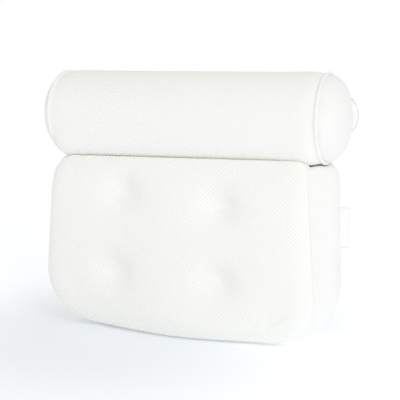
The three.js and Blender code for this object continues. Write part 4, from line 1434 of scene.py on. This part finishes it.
# %% Fillings and washers
FIBRE_INSET = 7 * MM
FIBRE_COLUMNS = 96
FIBRE_RINGS = 9
FIBRE_SPAN = (0.1, 0.9)  # between the pad's front and rear seam
CAP_SPAN = (0, 0.95)  # of the way from the middle of a cap to its rim
ROLL_FIBRE_RINGS = 33
ROLL_FIBRE_SIDES = 64
ROLL_FIBRE_EDGE = (0.6, 0.3)  # where its ends turn, as shares of the seam's radius and the dome's height

rings = gusset_rings(np.linspace(*FIBRE_SPAN, FIBRE_RINGS), FIBRE_COLUMNS, FIBRE_INSET)
middle = np.array([0, 0, FRONT_MIDDLE_Z])
front_caps, rear_caps = [], []
for share in np.linspace(*CAP_SPAN, FIBRE_RINGS):
    cap = middle + (rings[0] - middle) * share
    cap[:, 1] = front_y(cap[:, 0], cap[:, 2], PAD_CROWN) + FIBRE_INSET
    front_caps.append(cap)
    cap = middle + (rings[-1] - middle) * share
    cap[:, 1] = GUSSET_REAR_Y - FIBRE_INSET
    rear_caps.append(cap)
fibre = np.array([*front_caps, *rings, *rear_caps[::-1]])
fibre = leaned(fibre.reshape(-1, 3)).reshape(fibre.shape)
pad_fibre = loft_piece("pad_fibre", fibre, "filling")
dress(pad_fibre, "pad", "filling", "pad_filling")

x = np.linspace(-ROLL_SEAM_X, ROLL_SEAM_X, ROLL_FIBRE_RINGS)
tip = ROLL_SEAM_X + DOME_SHARE["left"] * DOME_HEIGHT - FIBRE_INSET
edge = (ROLL_FIBRE_EDGE[0] * ROLL_SEAM_RADIUS, ROLL_SEAM_X + ROLL_FIBRE_EDGE[1] * DOME_HEIGHT)
dome = [(0, tip), edge]
tube = [(roll_radius(at) - FIBRE_INSET, at) for at in x]
profile = [*((r, -at) for r, at in dome), *tube, *dome[::-1]]
roll_seat = (np.array([0, ROLL_Y, ROLL_Z]), np.array([1.0, 0, 0]))
roll_fibre = loft_piece("roll_fibre", lathe_rings(roll_seat, profile, ROLL_FIBRE_SIDES), "filling")
dress(roll_fibre, "roll", "filling", "roll_filling")

for name, node in frame["nodes"].items():
    if "washer" in name:
        node.material_slots[0].material = FINISHES["washer_plastic"]

# %% [markdown]
# ## Floor and light
#
# The pillow stands in a bright white studio. The room gives most of the light, and less from above than from
# the front and the right, which leaves the top of the roll the greyest part. One soft light at the upper
# right shapes the dimples. White cloth hands light on many times, so more bounces are allowed than usual,
# and creases stay soft. The floor is a pale disc that glows though it is no lamp, least round the pillow,
# so a pool of painted shade lies there over the real shadow. It fades out into the white background, so
# no horizon shows.

# %% Floor
FLOOR_RADIUS = 1.1
FLOOR_FADE_FROM = 0.35
FLOOR_DROP = 0.4 * MM
# Painted light: the floor glows though it is no lamp, and glows least round SHADE_MIDDLE, which paints a pool
# of shade.
FLOOR_GLOW = (0.1, 0.32)  # lifts the floor to the white of the background, least where the shade is
SHADE_MIDDLE = (-0.06, -0.1, 0)
SHADE_REACH = (0.05, 0.36)

floor_mesh = bpy.data.meshes.new("floor")
mesh = bmesh.new()
bmesh.ops.create_circle(mesh, cap_ends=True, segments=96, radius=FLOOR_RADIUS)
mesh.to_mesh(floor_mesh)
mesh.free()
floor_mesh.transform(Matrix.Translation((0, 0, -FLOOR_DROP)))
floor = bpy.data.objects.new("floor", floor_mesh)
bpy.context.scene.collection.objects.link(floor)

material, tree, shader = finish_of("matt white studio board", "#EEF1F4", 1.0)
shader.inputs["Emission Color"].default_value = linear("#FFFFFF")
place = add(tree, "ShaderNodeTexCoord").outputs["Object"]
off = add(tree, "ShaderNodeVectorMath", {0: place, 1: SHADE_MIDDLE}, operation="DISTANCE").outputs["Value"]
# Painted shade near the pillow and painted light farther out: the glow grows with distance from SHADE_MIDDLE.
glow = add(tree, "ShaderNodeMapRange", {
    "Value": off, "From Min": SHADE_REACH[0], "From Max": SHADE_REACH[1], "To Min": FLOOR_GLOW[0],
    "To Max": FLOOR_GLOW[1]}, interpolation_type="SMOOTHSTEP")
tree.links.new(glow.outputs[0], shader.inputs["Emission Strength"])
away = add(tree, "ShaderNodeVectorMath", {0: place}, operation="LENGTH").outputs["Value"]
solid = add(tree, "ShaderNodeMapRange",
            {"Value": away, "From Min": FLOOR_RADIUS, "From Max": FLOOR_FADE_FROM},
            interpolation_type="SMOOTHSTEP")
tree.links.new(solid.outputs[0], shader.inputs["Alpha"])
floor_mesh.materials.append(material)
print("floor of radius", FLOOR_RADIUS)

# %% Lights and background
WORLD_LIGHT = 0.815
WORLD_LEAN = 0.165  # how much brighter the room is towards its bright side, and darker away from it
BRIGHT_SIDE = Vector((0.5, -0.68, -0.48)).normalized()
KEY_PLACE = (1.4, -1.25, 1.3)
KEY_POWER = 6.6
KEY_SIZE = 0.9
BOUNCES = 24  # white cloth sends light on many times before a crease has its share

scene = bpy.context.scene
scene.view_settings.view_transform = "Standard"
scene.cycles.max_bounces = BOUNCES
scene.cycles.diffuse_bounces = BOUNCES
scene.world = bpy.data.worlds.new("white studio")
scene.world.use_nodes = True
tree = scene.world.node_tree
direction = add(tree, "ShaderNodeTexCoord").outputs["Generated"]
towards = add(tree, "ShaderNodeVectorMath", {0: direction, 1: BRIGHT_SIDE}, operation="DOT_PRODUCT")
strength = add(tree, "ShaderNodeMath", {0: towards.outputs["Value"], 1: WORLD_LEAN, 2: WORLD_LIGHT},
               operation="MULTIPLY_ADD")
lit = add(tree, "ShaderNodeBackground", {"Color": linear("#FFFFFF"), "Strength": strength.outputs[0]})
seen = add(tree, "ShaderNodeBackground", {"Color": linear("#FFFFFF"), "Strength": 1.0})
ray = add(tree, "ShaderNodeLightPath").outputs
clear = add(tree, "ShaderNodeMath", {0: ray["Is Camera Ray"], 1: ray["Is Transmission Ray"]},
            operation="MAXIMUM")
both = add(tree, "ShaderNodeMixShader", {0: clear.outputs[0], 1: lit.outputs[0], 2: seen.outputs[0]})
tree.links.new(both.outputs[0], tree.nodes["World Output"].inputs["Surface"])

light = bpy.data.lights.new("key", "AREA")
light.energy = KEY_POWER
light.size = KEY_SIZE
key = bpy.data.objects.new("key", light)
key.location = KEY_PLACE
key.rotation_euler = (Vector(KEY_PLACE) - VIEW_TARGET).to_track_quat("Z", "Y").to_euler()
scene.collection.objects.link(key)
print("lit by a room of", WORLD_LIGHT, "and a key light of", KEY_POWER, "W")
